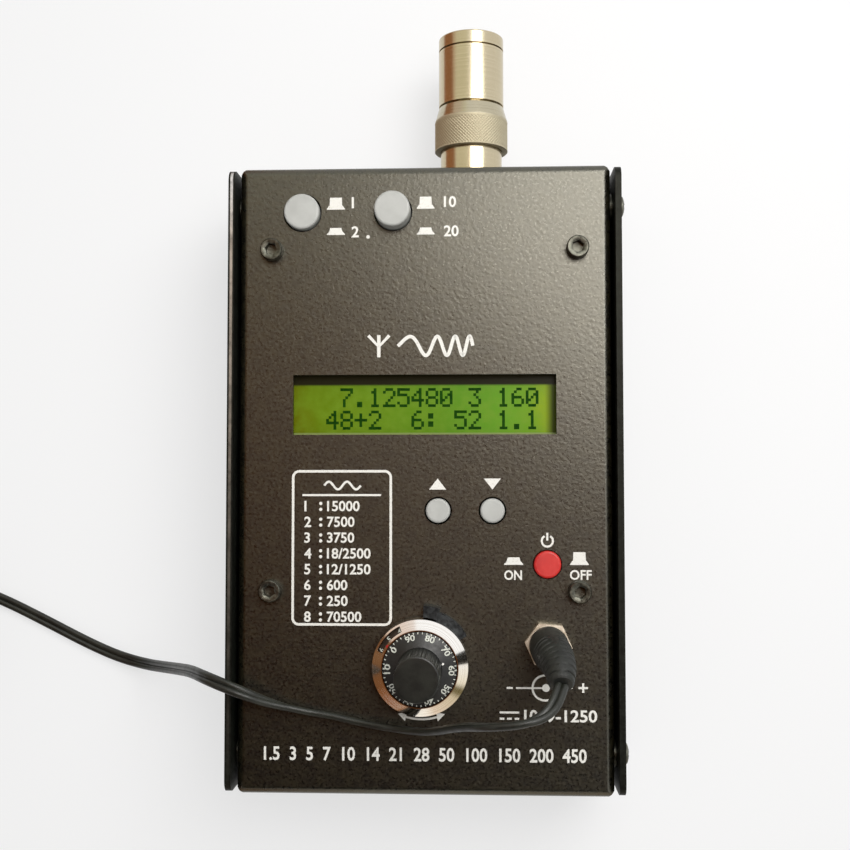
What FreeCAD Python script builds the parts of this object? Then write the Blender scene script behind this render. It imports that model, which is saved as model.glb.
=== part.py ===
import FreeCAD, Part
import math
import os

# Antenna analyzer in a two-part sheet metal case, lying on its back. Millimetres.
# The origin is the middle of the back cover's outer face. +Z is the front panel's
# normal, +Y runs along the case towards the RF socket, +X is to the panel's right.

V = FreeCAD.Vector
X_AXIS = V(1, 0, 0)
Y_AXIS = V(0, 1, 0)
Z_AXIS = V(0, 0, 1)

# Case
front_height = 42.0          # table to the front panel's face
panel_width = 92.0
panel_length = 154.4
front_sheet = 1.2
back_sheet = 1.5
bend_radius = 2.0            # outside radius of every bend
side_flange = 14.0           # depth of the front cover's two side flanges
side_gap = 0.83              # between the side flanges and the back cover's walls
wall_lip = 2.87              # how far the side walls stand past the front panel
wall_corner = 3.0            # rounded front corners of the side walls
end_step = 0.9               # the back cover is this much shorter at each end
seam = 0.1                   # end walls above the back plate
corner_slit = 0.8            # bend relief beside each end wall
corner_cut = 1.6             # off each corner of the panel

# Screws
screw_r = 1.5                # M3
hole_clear = 0.15            # radial, screw in a clearance hole
bore_clear = 0.05            # radial, screw in its own thread
cap_head_r = 2.75
cap_head_height = 3.0
hex_key = 2.5
pan_head_r = 2.8
pan_head_height = 1.9
side_screw_end = 9.1         # to the panel's ends
side_screw_drop = 7.5        # below the front panel's face
nut_collar_r = 3.2
nut_barrel_r = 2.4
nut_barrel_depth = 2.5

# Main board on four hexagonal standoffs behind the panel
standoff_length = 20.0
standoff_hex = 5.5
front_screw_side = 8.3       # to the panel's side edges
front_screw_top = 20.9       # upper pair to the panel's top edge
front_screw_bottom = 49.5    # lower pair to the panel's bottom edge
front_screw_bite = 6.0
board_sheet = 1.6
board_edge_clear = 3.0       # board edge to the side flanges
board_top_edge = 5.2         # board to the panel's top edge
board_bottom_edge = 44.6     # board to the panel's bottom edge
board_notch_depth = 12.0     # notch for the back of the RF socket
board_corner = 2.0

# Display module
lcd_x = 0.0
lcd_top_edge = 59.6          # module's middle to the panel's top edge
window_width = 64.8
window_height = 14.8
window_rise = 0.3            # window's middle above the module's
bezel_drop = 3.0             # panel face down to the bezel's face
bezel_width = 71.2
bezel_height = 25.2
bezel_depth = 7.5
bezel_sheet = 0.5
view_width = 66.0
view_height = 16.4
glass_thick = 2.2
lcd_board_width = 80.0
lcd_board_height = 36.0
lcd_hole_x = 37.5
lcd_hole_y = 15.5
lcd_screw_r = 1.25
lcd_screw_head = 1.8         # head radius as a multiple of the shank's
lcd_screw_tail = 4.0
lcd_spacer_r = 2.4
lcd_fit = 0.2                # round the glass and the light guide
header_width = 40.6
header_depth = 2.5
header_start = 8.0           # from the module's left edge

# Push buttons
band_top_edge = 11.4         # band buttons to the panel's top edge
left_band_x = -30.3
right_band_x = -7.7
band_cap_r = 4.4
band_hole_clear = 0.4
band_raised = 4.4            # top of the cap above the panel, released
band_travel = 2.4
power_x = 30.0
power_bottom_edge = 56.0     # to the panel's bottom edge
power_cap_r = 3.35
power_hole_clear = 0.25
power_raised = 3.2
power_travel = 2.2
cap_length = 9.0
cap_edge = 0.6
cap_socket = 5.0
switch_side = 8.2
small_switch_side = 7.0
switch_height = 11.2
switch_floor = 3.2
plunger_side = 3.0
plunger_reach = 9.4          # plunger below the cap
plunger_clear = 0.15
step_drop = 25.75            # below the display's middle
up_x = 3.4
down_x = 16.7
step_cap_r = 3.0
step_hole_clear = 0.4
step_raised = 0.8
step_travel = 0.4
step_cap_length = 6.0
step_stem_r = 1.75
step_body_side = 6.0
step_body_height = 4.4
step_stem_clear = 0.08
step_floor = 1.2

# Parts on the main board
chip_length = 35.6
chip_width = 7.4
chip_height = 4.0
chip_notch = 1.2
can_x = 4.0
can_rise = 30.4              # above the display's middle
can_width = 36.0
can_length = 19.0
can_height = 11.0
can_sheet = 0.5
coil_ring_r = 3.4
coil_wire_r = 1.6
# Each coil's x, and how far it is below the display's middle
coil_places = [(-30.0, 24.6), (-19.0, 25.1), (-8.0, 25.6), (-27.0, 36.1), (-15.5, 36.6)]
regulator_x = -31.0
regulator_rise = 22.4        # above the display's middle
regulator_width = 10.0
regulator_length = 9.0
regulator_height = 4.5
tab_length = 6.0
tab_sheet = 1.3
tab_offset = 6.5
tab_hole_r = 1.8
tab_hole_offset = 6.8
wire_r = 0.7
wire_end_gap = 0.1
wire_height = 3.5            # of the straight runs above the board
wire_landing = 3.5           # from the board's edge
pot_wire_pitch = 3.0
jack_wire_offsets = (-4.4, -1.4)
rf_wire_landing = 1.2        # from the board's notch

# Ten-turn tuning potentiometer and its turns-counting dial
dial_x = -0.7
dial_bottom_edge = 31.9      # dial's axis to the panel's bottom edge
pot_r = 11.1
pot_length = 19.1
pot_floor = 1.3
bushing_r = 4.75
bushing_length = 7.9
shaft_r = 3.175
shaft_clear = 0.045
shaft_top = 17.5             # above the panel
panel_hole_clear = 0.1
pot_nut_hex = 12.7
pot_nut_height = 2.4
base_floor = 0.8
base_hub_r = 8.6
base_hub_wall = 1.0
base_flange_r = 10.85
base_flange_low = 1.6        # above the panel
base_flange_high = 3.0
locating_pin_r = 1.2
locating_pin_offset = 6.7
ring_r = 11.45
ring_foot = 1.6
ring_shoulder = 6.9
ring_top = 9.0
ring_top_r = 9.2
ring_bore_r = 9.0
ring_wall = 0.5
ring_fit = 0.1
window_from = 116.0          # degrees round the dial, from +X
window_to = 158.0
window_in_r = 9.65
window_out_r = 11.05
counter_gap = 0.2
counter_wall = 0.5
counter_top_r = 9.2
counter_lift = 0.1
skirt_r = 8.75
skirt_edge = 0.8
skirt_rise = 1.4
skirt_bore_r = 5.35
knob_base_r = 5.3
knob_top_r = 5.15
knob_top = 24.0
knob_flange_r = 7.2
knob_flange = 0.8
knob_edge = 0.3
lever_gap = 0.1
lever_thick = 1.3
lever_clear = 0.08
lever_r = 11.2
lever_bulge = 2.2
lever_bulge_angle = 62.0
lever_from = 32.0
lever_tab_from = 71.0
lever_to = 87.0
lever_tab_r = 14.6
lever_tab_top = 5.0

# Power inlet, plug and lead
jack_x = 30.1
jack_bottom_edge = 36.7      # jack's axis to the panel's bottom edge
jack_neck_r = 4.0
jack_neck_top = 2.2
jack_body_r = 5.5
jack_body_length = 13.8
jack_bore_r = 2.85
jack_bore_depth = 11.0
jack_pin_r = 1.0
jack_nut_hex = 10.0
jack_nut_turn = -6.0         # degrees, as it was tightened
jack_nut_height = 1.9
sleeve_r = 2.75
sleeve_bore_r = 1.15
sleeve_length = 9.5
sleeve_grip = 3.0            # of the sleeve inside the moulding
plug_seat = 0.1
plug_r = 4.7
plug_shoulder_r = 4.55
plug_straight = 11.0
relief_length = 11.0
relief_end_r = 2.75
relief_bends = [(30.5, -40.8, 60.2), (31.3, -42.7, 65.2)]

# The lead is a free cord. Its route is a list of points, with a coil at the far end.
# The points and the relief's bends move with the jack from where they were laid out.
laid_out_from = (30.1, -40.5)
cord_r = 1.6
cord_route = [
    (31.4, -45.6, 69.0), (30.2, -48.8, 72.3), (27.0, -51.6, 74.8), (22.4, -52.9, 76.2),
    (15.8, -53.9, 75.1), (9.4, -55.4, 68.3), (1.9, -59.4, 59.2), (-5.7, -60.4, 52.4),
    (-13.9, -60.1, 47.2), (-22.3, -58.3, 44.4), (-28.6, -57.2, 43.9), (-36.5, -54.6, 46.1),
    (-44.1, -50.8, 50.4), (-52.3, -48.2, 47.8), (-58.3, -48.2, 37.8), (-64.2, -49.6, 26.1),
    (-70.7, -50.9, 15.1), (-78.4, -51.6, 6.2), (-87.7, -50.1, 2.0), (-96.8, -46.3, 1.6),
    (-108.5, -40.4, 1.6), (-120.5, -34.6, 1.6), (-132.2, -30.2, 1.6)]
coil_in_r = 14.4
coil_out_r = 20.8
coil_height = 12.8

# RF socket and terminator, on an axis along +Y
rf_x = 11.6
rf_drop = 19.9               # below the panel's face
rf_flange = 25.4
rf_flange_sheet = 1.6
rf_screw_pitch = 18.2
rf_head_r = 2.6
rf_head_height = 1.5
rf_barrel_r = 8.05
rf_barrel_out = 16.3         # past the end wall
rf_boss_r = 5.6
rf_boss_back = 5.0
rf_bore_r = 4.35
rf_insulator_back = 0.6
rf_insulator_front = 7.3     # past the end wall
rf_contact_r = 1.5
rf_contact_bore_r = 0.85
rf_contact_front = 15.0
rf_contact_back = 3.0
nut_start = 8.7              # past the end wall
nut_knurl_end = 16.4
nut_end = 20.1
nut_r = 9.6
nut_top_r = 8.55
nut_thread_clear = 0.1
nut_lip = 1.9
body_gap = 0.6
body_r = 8.54
body_end = 35.2
cap_gap = 0.45
cap_end = 38.9
cap_round = 0.4
neck_r = 6.45
neck_clear = 0.07
neck_flange_r = 7.7
neck_flange_sheet = 1.2
neck_start_gap = 0.5         # between the socket's end and the neck
ferrule_r = 4.25
ferrule_bore_r = 3.5
ferrule_reach = 7.5
load_r = 5.0
load_clear = 0.05
cap_stem_r = 7.0
cap_stem_length = 4.0
pin_r = 0.8
pin_reach = 6.6

# Worked out from the sizes above
panel_in = front_height - front_sheet
board_top = panel_in - standoff_length
board_bottom = board_top - board_sheet
bezel_face = front_height - bezel_drop
glass_face = bezel_face - bezel_sheet
lcd_board_top = bezel_face - bezel_depth
lcd_board_bottom = lcd_board_top - board_sheet
case_width = panel_width + 2 * (side_gap + back_sheet)
back_length = panel_length - 2 * end_step
end_wall_low = back_sheet + seam
end_face = panel_length / 2
lcd_y = end_face - lcd_top_edge
window_y = lcd_y + window_rise
band_y = end_face - band_top_edge
step_y = lcd_y - step_drop
can_y = lcd_y + can_rise
regulator_y = lcd_y + regulator_rise
power_y = power_bottom_edge - end_face
dial_y = dial_bottom_edge - end_face
jack_y = jack_bottom_edge - end_face
board_top_y = end_face - board_top_edge
board_bottom_y = board_bottom_edge - end_face
board_notch_y = board_top_y - board_notch_depth
front_screw_x = panel_width / 2 - front_screw_side
side_screw_y = end_face - side_screw_end
rf_z = front_height - rf_drop
board_half_width = panel_width / 2 - front_sheet - board_edge_clear
front_screw_places = [(x, y) for x in (-front_screw_x, front_screw_x)
                      for y in (end_face - front_screw_top, front_screw_bottom - end_face)]
side_screw_places = [(side, y) for side in (-1, 1) for y in (-side_screw_y, side_screw_y)]


def box(x0, x1, y0, y1, z0, z1):
    return Part.makeBox(x1 - x0, y1 - y0, z1 - z0, V(x0, y0, z0))


def slab(x, y, width, length, z0, z1):
    return box(x - width / 2, x + width / 2, y - length / 2, y + length / 2, z0, z1)


def disc(x, y, r, z0, z1):
    return Part.makeCylinder(r, z1 - z0, V(x, y, z0))


def tube(x, y, r, bore, z0, z1):
    return disc(x, y, r, z0, z1).cut(disc(x, y, bore, z0 - 1, z1 + 1))


def hexagon(x, y, across_flats, z0, z1, turn=0):
    corner = across_flats / math.sqrt(3)
    points = [V(x + corner * math.cos(math.radians(60 * i + turn)),
                y + corner * math.sin(math.radians(60 * i + turn)), z0) for i in range(7)]
    return Part.Face(Part.makePolygon(points)).extrude(V(0, 0, z1 - z0))


def turned(profile, base, axis):
    """Revolve (radius, height) points about the line through base along axis."""
    points = [V(r, 0, h) for r, h in profile]
    face = Part.Face(Part.makePolygon(points + points[:1]))
    solid = face.revolve(V(0, 0, 0), Z_AXIS, 360)
    solid.Placement = FreeCAD.Placement(base, FreeCAD.Rotation(Z_AXIS, axis))
    return solid


def sector(x, y, r_in, r_out, start, end, z0, z1):
    """A slice of a ring, from start to end in degrees round the centre."""
    slice_ = Part.makeCylinder(r_out, z1 - z0, V(x, y, z0), Z_AXIS, end - start)
    slice_.rotate(V(x, y, 0), Z_AXIS, start)
    return slice_.cut(disc(x, y, r_in, z0 - 1, z1 + 1))


def edges_where(shape, test):
    return [edge for edge in shape.Edges if test(edge)]


def round_top(shape, radius, z):
    """Round every edge that lies in the plane at height z."""
    edges = edges_where(shape, lambda e: abs(e.BoundBox.ZMin - z) < 1e-6
                        and abs(e.BoundBox.ZMax - z) < 1e-6)
    return shape.makeFillet(radius, edges)


def joined(shape, *others):
    for other in others:
        shape = shape.fuse(other)
    return shape.removeSplitter()


def pierced(shape, *holes):
    for hole in holes:
        shape = shape.cut(hole)
    return shape


def save(name, *solids):
    shape = solids[0] if len(solids) == 1 else Part.makeCompound(list(solids))
    shape.exportStep("parts/" + name + ".step")


# Case ----------------------------------------------------------------------

def panel_holes():
    """Every hole through the front panel."""
    low, high = panel_in - 1, front_height + 1
    holes = [disc(x, y, screw_r + hole_clear, low, high) for x, y in front_screw_places]
    holes += [disc(x, band_y, band_cap_r + band_hole_clear, low, high)
              for x in (left_band_x, right_band_x)]
    holes += [disc(x, step_y, step_cap_r + step_hole_clear, low, high) for x in (up_x, down_x)]
    holes.append(disc(power_x, power_y, power_cap_r + power_hole_clear, low, high))
    holes.append(slab(lcd_x, window_y, window_width, window_height, low, high))
    holes.append(disc(dial_x, dial_y, bushing_r + panel_hole_clear, low, high))
    holes.append(disc(dial_x, dial_y + locating_pin_offset, locating_pin_r + panel_hole_clear,
                      low, high))
    holes.append(disc(jack_x, jack_y, jack_neck_r + panel_hole_clear, low, high))
    return holes


def end_wall_holes():
    """The RF socket's barrel and its four screws, through the upper end wall."""
    start, depth = V(rf_x, end_face - front_sheet - 1, rf_z), front_sheet + 2
    holes = [Part.makeCylinder(rf_barrel_r + panel_hole_clear, depth, start, Y_AXIS)]
    for offset in rf_screw_offsets():
        holes.append(Part.makeCylinder(screw_r + hole_clear, depth, start + offset, Y_AXIS))
    return holes


def flange_holes(radius, sheet, outer_x):
    """Holes for the side screws through a pair of side walls."""
    holes = []
    for side, y in side_screw_places:
        start = V(side * (outer_x + 1), y, front_height - side_screw_drop)
        holes.append(Part.makeCylinder(radius, sheet + 2, start, V(-side, 0, 0)))
    return holes


def corner_prism(side, end):
    """What is cut off a corner of the front cover, from well outside it."""
    out_x, out_y = panel_width / 2 + corner_cut, panel_length / 2 + corner_cut
    flat = [(out_x, out_y), (out_x - 3 * corner_cut, out_y), (out_x, out_y - 3 * corner_cut)]
    points = [V(side * x, end * y, end_wall_low - 1) for x, y in flat]
    face = Part.Face(Part.makePolygon(points + points[:1]))
    return face.extrude(V(0, 0, front_height - end_wall_low + 2))


def front_cover():
    half_w, half_l = panel_width / 2, panel_length / 2
    outer = round_top(slab(0, 0, panel_width, panel_length, end_wall_low, front_height),
                      bend_radius, front_height)
    inner = round_top(slab(0, 0, panel_width - 2 * front_sheet, panel_length - 2 * front_sheet,
                           end_wall_low - 1, panel_in), bend_radius - front_sheet, panel_in)
    cover = outer.cut(inner)
    for side in (-1, 1):
        x0, x1 = sorted((side * (half_w - front_sheet), side * (half_w + 1)))
        reach = half_l - front_sheet
        cover = cover.cut(box(x0, x1, -reach, reach, end_wall_low - 1, front_height - side_flange))
        for end in (-1, 1):
            y0, y1 = sorted((end * reach, end * (reach - corner_slit)))
            cover = cover.cut(box(x0, x1, y0, y1, end_wall_low, front_height - bend_radius))
            cover = cover.cut(corner_prism(side, end))
    holes = panel_holes() + end_wall_holes() + flange_holes(nut_barrel_r + bore_clear,
                                                            front_sheet, half_w)
    return pierced(cover, *holes)


def back_cover():
    half_w, half_l = case_width / 2, back_length / 2
    wall_top = front_height + wall_lip
    outer = slab(0, 0, case_width, back_length, 0, wall_top)
    long_low = edges_where(outer, lambda e: abs(e.BoundBox.ZMax) < 1e-6
                           and e.BoundBox.YLength > half_l)
    outer = outer.makeFillet(bend_radius, long_low)
    inner = slab(0, 0, case_width - 2 * back_sheet, back_length + 2, back_sheet, wall_top + 1)
    long_low = edges_where(inner, lambda e: abs(e.BoundBox.ZMax - back_sheet) < 1e-6
                           and e.BoundBox.YLength > half_l)
    inner = inner.makeFillet(bend_radius - back_sheet, long_low)
    cover = outer.cut(inner)
    corners = edges_where(cover, lambda e: abs(e.BoundBox.ZMin - wall_top) < 1e-6
                          and e.BoundBox.YLength < 1e-6)
    cover = cover.makeFillet(wall_corner, corners)
    return pierced(cover, *flange_holes(screw_r + hole_clear, back_sheet, half_w))


def case_nut(side, y):
    """A clinch nut in a side flange. Its collar spaces the wall from the flange."""
    depth = side_gap + front_sheet + nut_barrel_depth
    bore = screw_r + bore_clear
    profile = [(bore, 0), (nut_collar_r, 0), (nut_collar_r, side_gap), (nut_barrel_r, side_gap),
               (nut_barrel_r, depth), (bore, depth)]
    base = V(side * (panel_width / 2 + side_gap), y, front_height - side_screw_drop)
    return turned(profile, base, V(-side, 0, 0))


def pan_screw(base, axis, length, head_r=pan_head_r, head_height=pan_head_height):
    """A domed screw: base is under its head, and its shank runs along axis."""
    profile = [(0, -head_height), (head_r * 0.55, -head_height), (head_r * 0.9, -head_height * 0.6),
               (head_r, 0), (screw_r, 0), (screw_r, length), (0, length)]
    return turned(profile, base, axis)


def side_screw(side, y):
    base = V(side * case_width / 2, y, front_height - side_screw_drop)
    length = back_sheet + side_gap + front_sheet + nut_barrel_depth
    return pan_screw(base, V(-side, 0, 0), length)


def front_screw(x, y):
    """A socket head cap screw on the panel."""
    top = front_height + cap_head_height
    head = round_top(disc(x, y, cap_head_r, front_height, top), 0.3, top)
    head = head.cut(hexagon(x, y, hex_key, top - cap_head_height / 2, top + 1))
    shank = disc(x, y, screw_r, panel_in - front_screw_bite, front_height)
    return joined(head, shank)


def standoff(x, y):
    post = hexagon(x, y, standoff_hex, board_top, panel_in)
    return post.cut(disc(x, y, screw_r + bore_clear, board_top - 1, panel_in + 1))


# Boards and display ---------------------------------------------------------

def main_board():
    board = box(-board_half_width, board_half_width, board_bottom_y, board_top_y,
                board_bottom, board_top)
    upright = edges_where(board, lambda e: e.BoundBox.ZLength > board_sheet / 2)
    board = board.makeFillet(board_corner, upright)
    half_notch = rf_flange / 2 + board_corner
    notch = box(rf_x - half_notch, rf_x + half_notch, board_notch_y, board_top_y + 1,
                board_bottom - 1, board_top + 1)
    holes = [disc(x, y, screw_r + hole_clear, board_bottom - 1, board_top + 1)
             for x, y in front_screw_places]
    return pierced(board, notch, *holes)


def lcd_hole_places():
    return [(lcd_x + sx * lcd_hole_x, lcd_y + sy * lcd_hole_y) for sx in (-1, 1) for sy in (-1, 1)]


def lcd_board():
    board = slab(lcd_x, lcd_y, lcd_board_width, lcd_board_height, lcd_board_bottom, lcd_board_top)
    holes = [disc(x, y, lcd_screw_r + hole_clear, lcd_board_bottom - 1, lcd_board_top + 1)
             for x, y in lcd_hole_places()]
    return pierced(board, *holes)


def lcd_bezel():
    """A pressed metal frame, open towards the board."""
    frame = slab(lcd_x, lcd_y, bezel_width, bezel_height, lcd_board_top, bezel_face)
    upright = edges_where(frame, lambda e: e.BoundBox.ZLength > bezel_depth / 2)
    frame = frame.makeFillet(bezel_sheet, upright)
    hollow = slab(lcd_x, lcd_y, bezel_width - 2 * bezel_sheet, bezel_height - 2 * bezel_sheet,
                  lcd_board_top - 1, glass_face)
    view = slab(lcd_x, lcd_y, view_width, view_height, glass_face - 1, bezel_face + 1)
    return pierced(frame, hollow, view)


def inside_bezel(low, high):
    shrink = 2 * (bezel_sheet + lcd_fit)
    return slab(lcd_x, lcd_y, bezel_width - shrink, bezel_height - shrink, low, high)


def lcd_spacer(x, y):
    return tube(x, y, lcd_spacer_r, lcd_screw_r + bore_clear, board_top, lcd_board_bottom)


def lcd_screw(x, y):
    head = disc(x, y, lcd_screw_r * lcd_screw_head, lcd_board_top, lcd_board_top + lcd_screw_r)
    shank = disc(x, y, lcd_screw_r, lcd_board_bottom - lcd_screw_tail, lcd_board_top)
    return joined(head, shank)


def lcd_header():
    x0 = lcd_x - lcd_board_width / 2 + header_start
    y = lcd_y + lcd_hole_y
    return box(x0, x0 + header_width, y - header_depth / 2, y + header_depth / 2,
               board_top, lcd_board_bottom)


def microcontroller():
    chip = slab(lcd_x, lcd_y, chip_length, chip_width, board_top, board_top + chip_height)
    notch = disc(lcd_x - chip_length / 2, lcd_y, chip_notch, board_top + chip_height / 2,
                 board_top + chip_height + 1)
    return chip.cut(notch)


def oscillator_can():
    """A folded screening can, open towards the board."""
    top = board_top + can_height
    can = round_top(slab(can_x, can_y, can_width, can_length, board_top, top), can_sheet, top)
    inner = slab(can_x, can_y, can_width - 2 * can_sheet, can_length - 2 * can_sheet,
                 board_top - 1, top - can_sheet)
    trimmers = [disc(can_x + step * can_width / 4, can_y, 2.0, board_top, top + 1)
                for step in (-1, 0, 1)]
    return pierced(can, inner, *trimmers)


def band_coil(x, y):
    return Part.makeTorus(coil_ring_r, coil_wire_r, V(x, y, board_top + coil_wire_r))


def regulator():
    """A voltage regulator lying on its back, with its fixing tab."""
    tab = slab(regulator_x, regulator_y + tab_offset, regulator_width, tab_length,
               board_top, board_top + tab_sheet)
    body = slab(regulator_x, regulator_y, regulator_width, regulator_length,
                board_top, board_top + regulator_height)
    hole = disc(regulator_x, regulator_y + tab_hole_offset, tab_hole_r, board_top - 1,
                board_top + tab_sheet + 1)
    return joined(body, tab).cut(hole)


def bent_wire(points, radius):
    """A round wire along straight runs, with mitred corners rounded by spheres."""
    pieces = []
    for start, end in zip(points, points[1:]):
        run = V(*end) - V(*start)
        pieces.append(Part.makeCylinder(radius, run.Length, V(*start), run))
    pieces += [Part.makeSphere(radius, V(*point)) for point in points[1:-1]]
    return joined(*pieces)


def internal_wires():
    """Two wires from the power inlet, three from the potentiometer, one from the RF socket."""
    jack_low = panel_in - jack_body_length
    run_z, land_y = board_top + wire_height, board_bottom_y + wire_landing
    wires = []
    for offset in jack_wire_offsets:
        x = jack_x + offset
        wires.append(bent_wire([(x, jack_y, jack_low), (x, jack_y, run_z), (x, land_y, run_z),
                                (x, land_y, board_top)], wire_r))
    start_y = dial_y + pot_r + wire_end_gap
    for x in (dial_x - pot_wire_pitch, dial_x, dial_x + pot_wire_pitch):
        wires.append(bent_wire([(x, start_y, run_z), (x, land_y, run_z), (x, land_y, board_top)],
                               wire_r))
    return wires + [rf_lead()]


# Push buttons ---------------------------------------------------------------

def button_cap(x, y, r, top):
    """A round cap with a square blind socket for the switch's plunger."""
    cap = round_top(disc(x, y, r, top - cap_length, top), cap_edge, top)
    bottom = top - cap_length
    return cap.cut(slab(x, y, plunger_side, plunger_side, bottom - 1, bottom + cap_socket))


def button_plunger(x, y, top):
    bottom = top - cap_length
    return slab(x, y, plunger_side, plunger_side, bottom - plunger_reach, bottom + cap_socket)


def push_switch(x, y, side):
    """A latching switch body with the plunger's guide."""
    top = board_top + switch_height
    body = slab(x, y, side, side, board_top, top)
    upright = edges_where(body, lambda e: e.BoundBox.ZLength > switch_height / 2)
    body = body.makeChamfer(0.5, upright)
    guide = plunger_side + 2 * plunger_clear
    body = body.cut(slab(x, y, guide, guide, board_top + switch_floor, top + 1))
    groove = slab(x, y + side / 2, side * 0.4, 1.2, board_top + 3, top - 1.5)
    return body.cut(groove)


def step_switch(x):
    body = slab(x, step_y, step_body_side, step_body_side, board_top, board_top + step_body_height)
    return body.cut(disc(x, step_y, step_stem_r + step_stem_clear, board_top + step_floor,
                         board_top + step_body_height + 1))


def step_button(x):
    """A momentary button: a cap on a long stem that stands in its switch."""
    top = front_height + step_raised
    cap = round_top(disc(x, step_y, step_cap_r, top - step_cap_length, top), cap_edge, top)
    stem_low = board_top + step_floor + step_travel + 0.3
    return joined(cap, disc(x, step_y, step_stem_r, stem_low, top - step_cap_length))


# Tuning dial ----------------------------------------------------------------

def dial_disc(r, low, high):
    return disc(dial_x, dial_y, r, front_height + low, front_height + high)


def dial_turned(profile):
    """Revolve (radius, height above the panel) points about the dial's axis."""
    return turned(profile, V(dial_x, dial_y, front_height), Z_AXIS)


def tuning_pot():
    body = disc(dial_x, dial_y, pot_r, panel_in - pot_length, panel_in)
    bushing = disc(dial_x, dial_y, bushing_r, panel_in, panel_in + bushing_length)
    bore = disc(dial_x, dial_y, shaft_r + shaft_clear, panel_in - pot_length + pot_floor,
                panel_in + bushing_length + 1)
    return joined(body, bushing).cut(bore)


def pot_shaft():
    return disc(dial_x, dial_y, shaft_r, panel_in - pot_length + pot_floor + 0.3,
                front_height + shaft_top)


def pot_nut():
    low = front_height + base_floor
    nut = hexagon(dial_x, dial_y, pot_nut_hex, low, low + pot_nut_height)
    return nut.cut(disc(dial_x, dial_y, bushing_r + bore_clear, low - 1, low + pot_nut_height + 1))


def dial_base():
    """The dial's fixed foot: clamped by the nut, kept from turning by a pin."""
    bore_r = base_hub_r - base_hub_wall
    base = dial_turned([(bushing_r + panel_hole_clear, 0), (base_hub_r, 0),
                        (base_hub_r, base_flange_low), (base_flange_r, base_flange_low),
                        (base_flange_r, base_flange_high), (bore_r, base_flange_high),
                        (bore_r, base_floor), (bushing_r + panel_hole_clear, base_floor)])
    pin = disc(dial_x, dial_y + locating_pin_offset, locating_pin_r, panel_in,
               front_height + base_floor)
    return joined(base, pin)


def cone_point(offset, r):
    """The height where the ring's cone, set in by offset along its normal, has radius r."""
    run, rise = ring_r - ring_top_r, ring_top - ring_shoulder
    slant = math.hypot(run, rise)
    start_r = ring_r - offset * rise / slant
    start_z = ring_shoulder - offset * run / slant
    return start_z + (start_r - r) * rise / run


def dial_ring():
    """The bright outer ring, with the window that shows the turns counter."""
    inside_r = base_flange_r + ring_fit
    ring = dial_turned([(inside_r, ring_foot), (ring_r, ring_foot), (ring_r, ring_shoulder),
                        (ring_top_r, ring_top), (ring_bore_r, ring_top),
                        (ring_bore_r, cone_point(ring_wall, ring_bore_r)),
                        (inside_r, cone_point(ring_wall, inside_r))])
    window = sector(dial_x, dial_y, window_in_r, window_out_r, window_from, window_to,
                    front_height + ring_shoulder - ring_wall, front_height + ring_top + 1)
    return ring.cut(window)


def counter_ring():
    """The numbered ring behind the window. It runs on the base's flange."""
    outer, inner = ring_wall + counter_gap, ring_wall + counter_gap + counter_wall
    outer_r = base_flange_r - counter_gap / 2
    inner_r = outer_r - counter_wall
    low = base_flange_high + counter_lift
    top = cone_point(outer, counter_top_r)
    thin_r = counter_top_r - counter_wall / 2
    return dial_turned([(inner_r, low), (outer_r, low), (outer_r, cone_point(outer, outer_r)),
                        (counter_top_r, top), (thin_r, cone_point(inner, thin_r)),
                        (inner_r, cone_point(inner, inner_r))])


def dial_skirt():
    """The graduated cone that turns with the knob."""
    rim = ring_top - 0.1
    return dial_turned([(skirt_bore_r, rim - skirt_edge), (skirt_r, rim - skirt_edge),
                        (skirt_r, rim), (skirt_bore_r, rim + skirt_rise)])


def tuning_knob():
    seat = ring_top - 0.1 - skirt_edge
    low = seat - knob_flange
    grip_low = seat + skirt_edge + skirt_rise
    knob = dial_turned([(0, low), (knob_flange_r, low), (knob_flange_r, seat), (knob_base_r, seat),
                        (knob_base_r, grip_low), (knob_top_r, knob_top - knob_edge),
                        (knob_top_r - knob_edge, knob_top), (0, knob_top)])
    return knob.cut(dial_disc(shaft_r, low - 1, shaft_top))


def dial_lock():
    """The brake lever: a thin cam under the ring, with an upright thumb tab."""
    low, high = front_height + lever_gap, front_height + lever_gap + lever_thick
    plate = disc(dial_x, dial_y, lever_r, low, high)
    angle = math.radians(lever_bulge_angle)
    bulge = disc(dial_x + lever_bulge * math.cos(angle), dial_y + lever_bulge * math.sin(angle),
                 lever_r, low, high)
    bulge = bulge.common(sector(dial_x, dial_y, base_hub_r, lever_tab_r, lever_from, lever_to,
                                low, high))
    foot = sector(dial_x, dial_y, base_hub_r, lever_tab_r, lever_tab_from, lever_to, low, high)
    tab = sector(dial_x, dial_y, ring_r + 0.3, lever_tab_r, lever_tab_from, lever_to,
                 low, front_height + lever_tab_top)
    lever = joined(plate, bulge, foot, tab)
    return lever.cut(disc(dial_x, dial_y, base_hub_r + lever_clear, low - 1, high + 1))


# Power inlet and lead ---------------------------------------------------------

def jack_disc(r, low, high):
    return disc(jack_x, jack_y, r, front_height + low, front_height + high)


def dc_jack():
    body = disc(jack_x, jack_y, jack_body_r, panel_in - jack_body_length, panel_in)
    neck = disc(jack_x, jack_y, jack_neck_r, panel_in, front_height + jack_neck_top)
    bore = jack_disc(jack_bore_r, jack_neck_top - jack_bore_depth, jack_neck_top + 1)
    pin_hole = jack_disc(jack_pin_r, jack_neck_top - jack_bore_depth - 2,
                         jack_neck_top - jack_bore_depth)
    return pierced(joined(body, neck), bore, pin_hole)


def dc_jack_pin():
    top = jack_neck_top - 1.2
    pin = jack_disc(jack_pin_r, jack_neck_top - jack_bore_depth - 2, top)
    return round_top(pin, jack_pin_r / 2, front_height + top)


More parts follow.
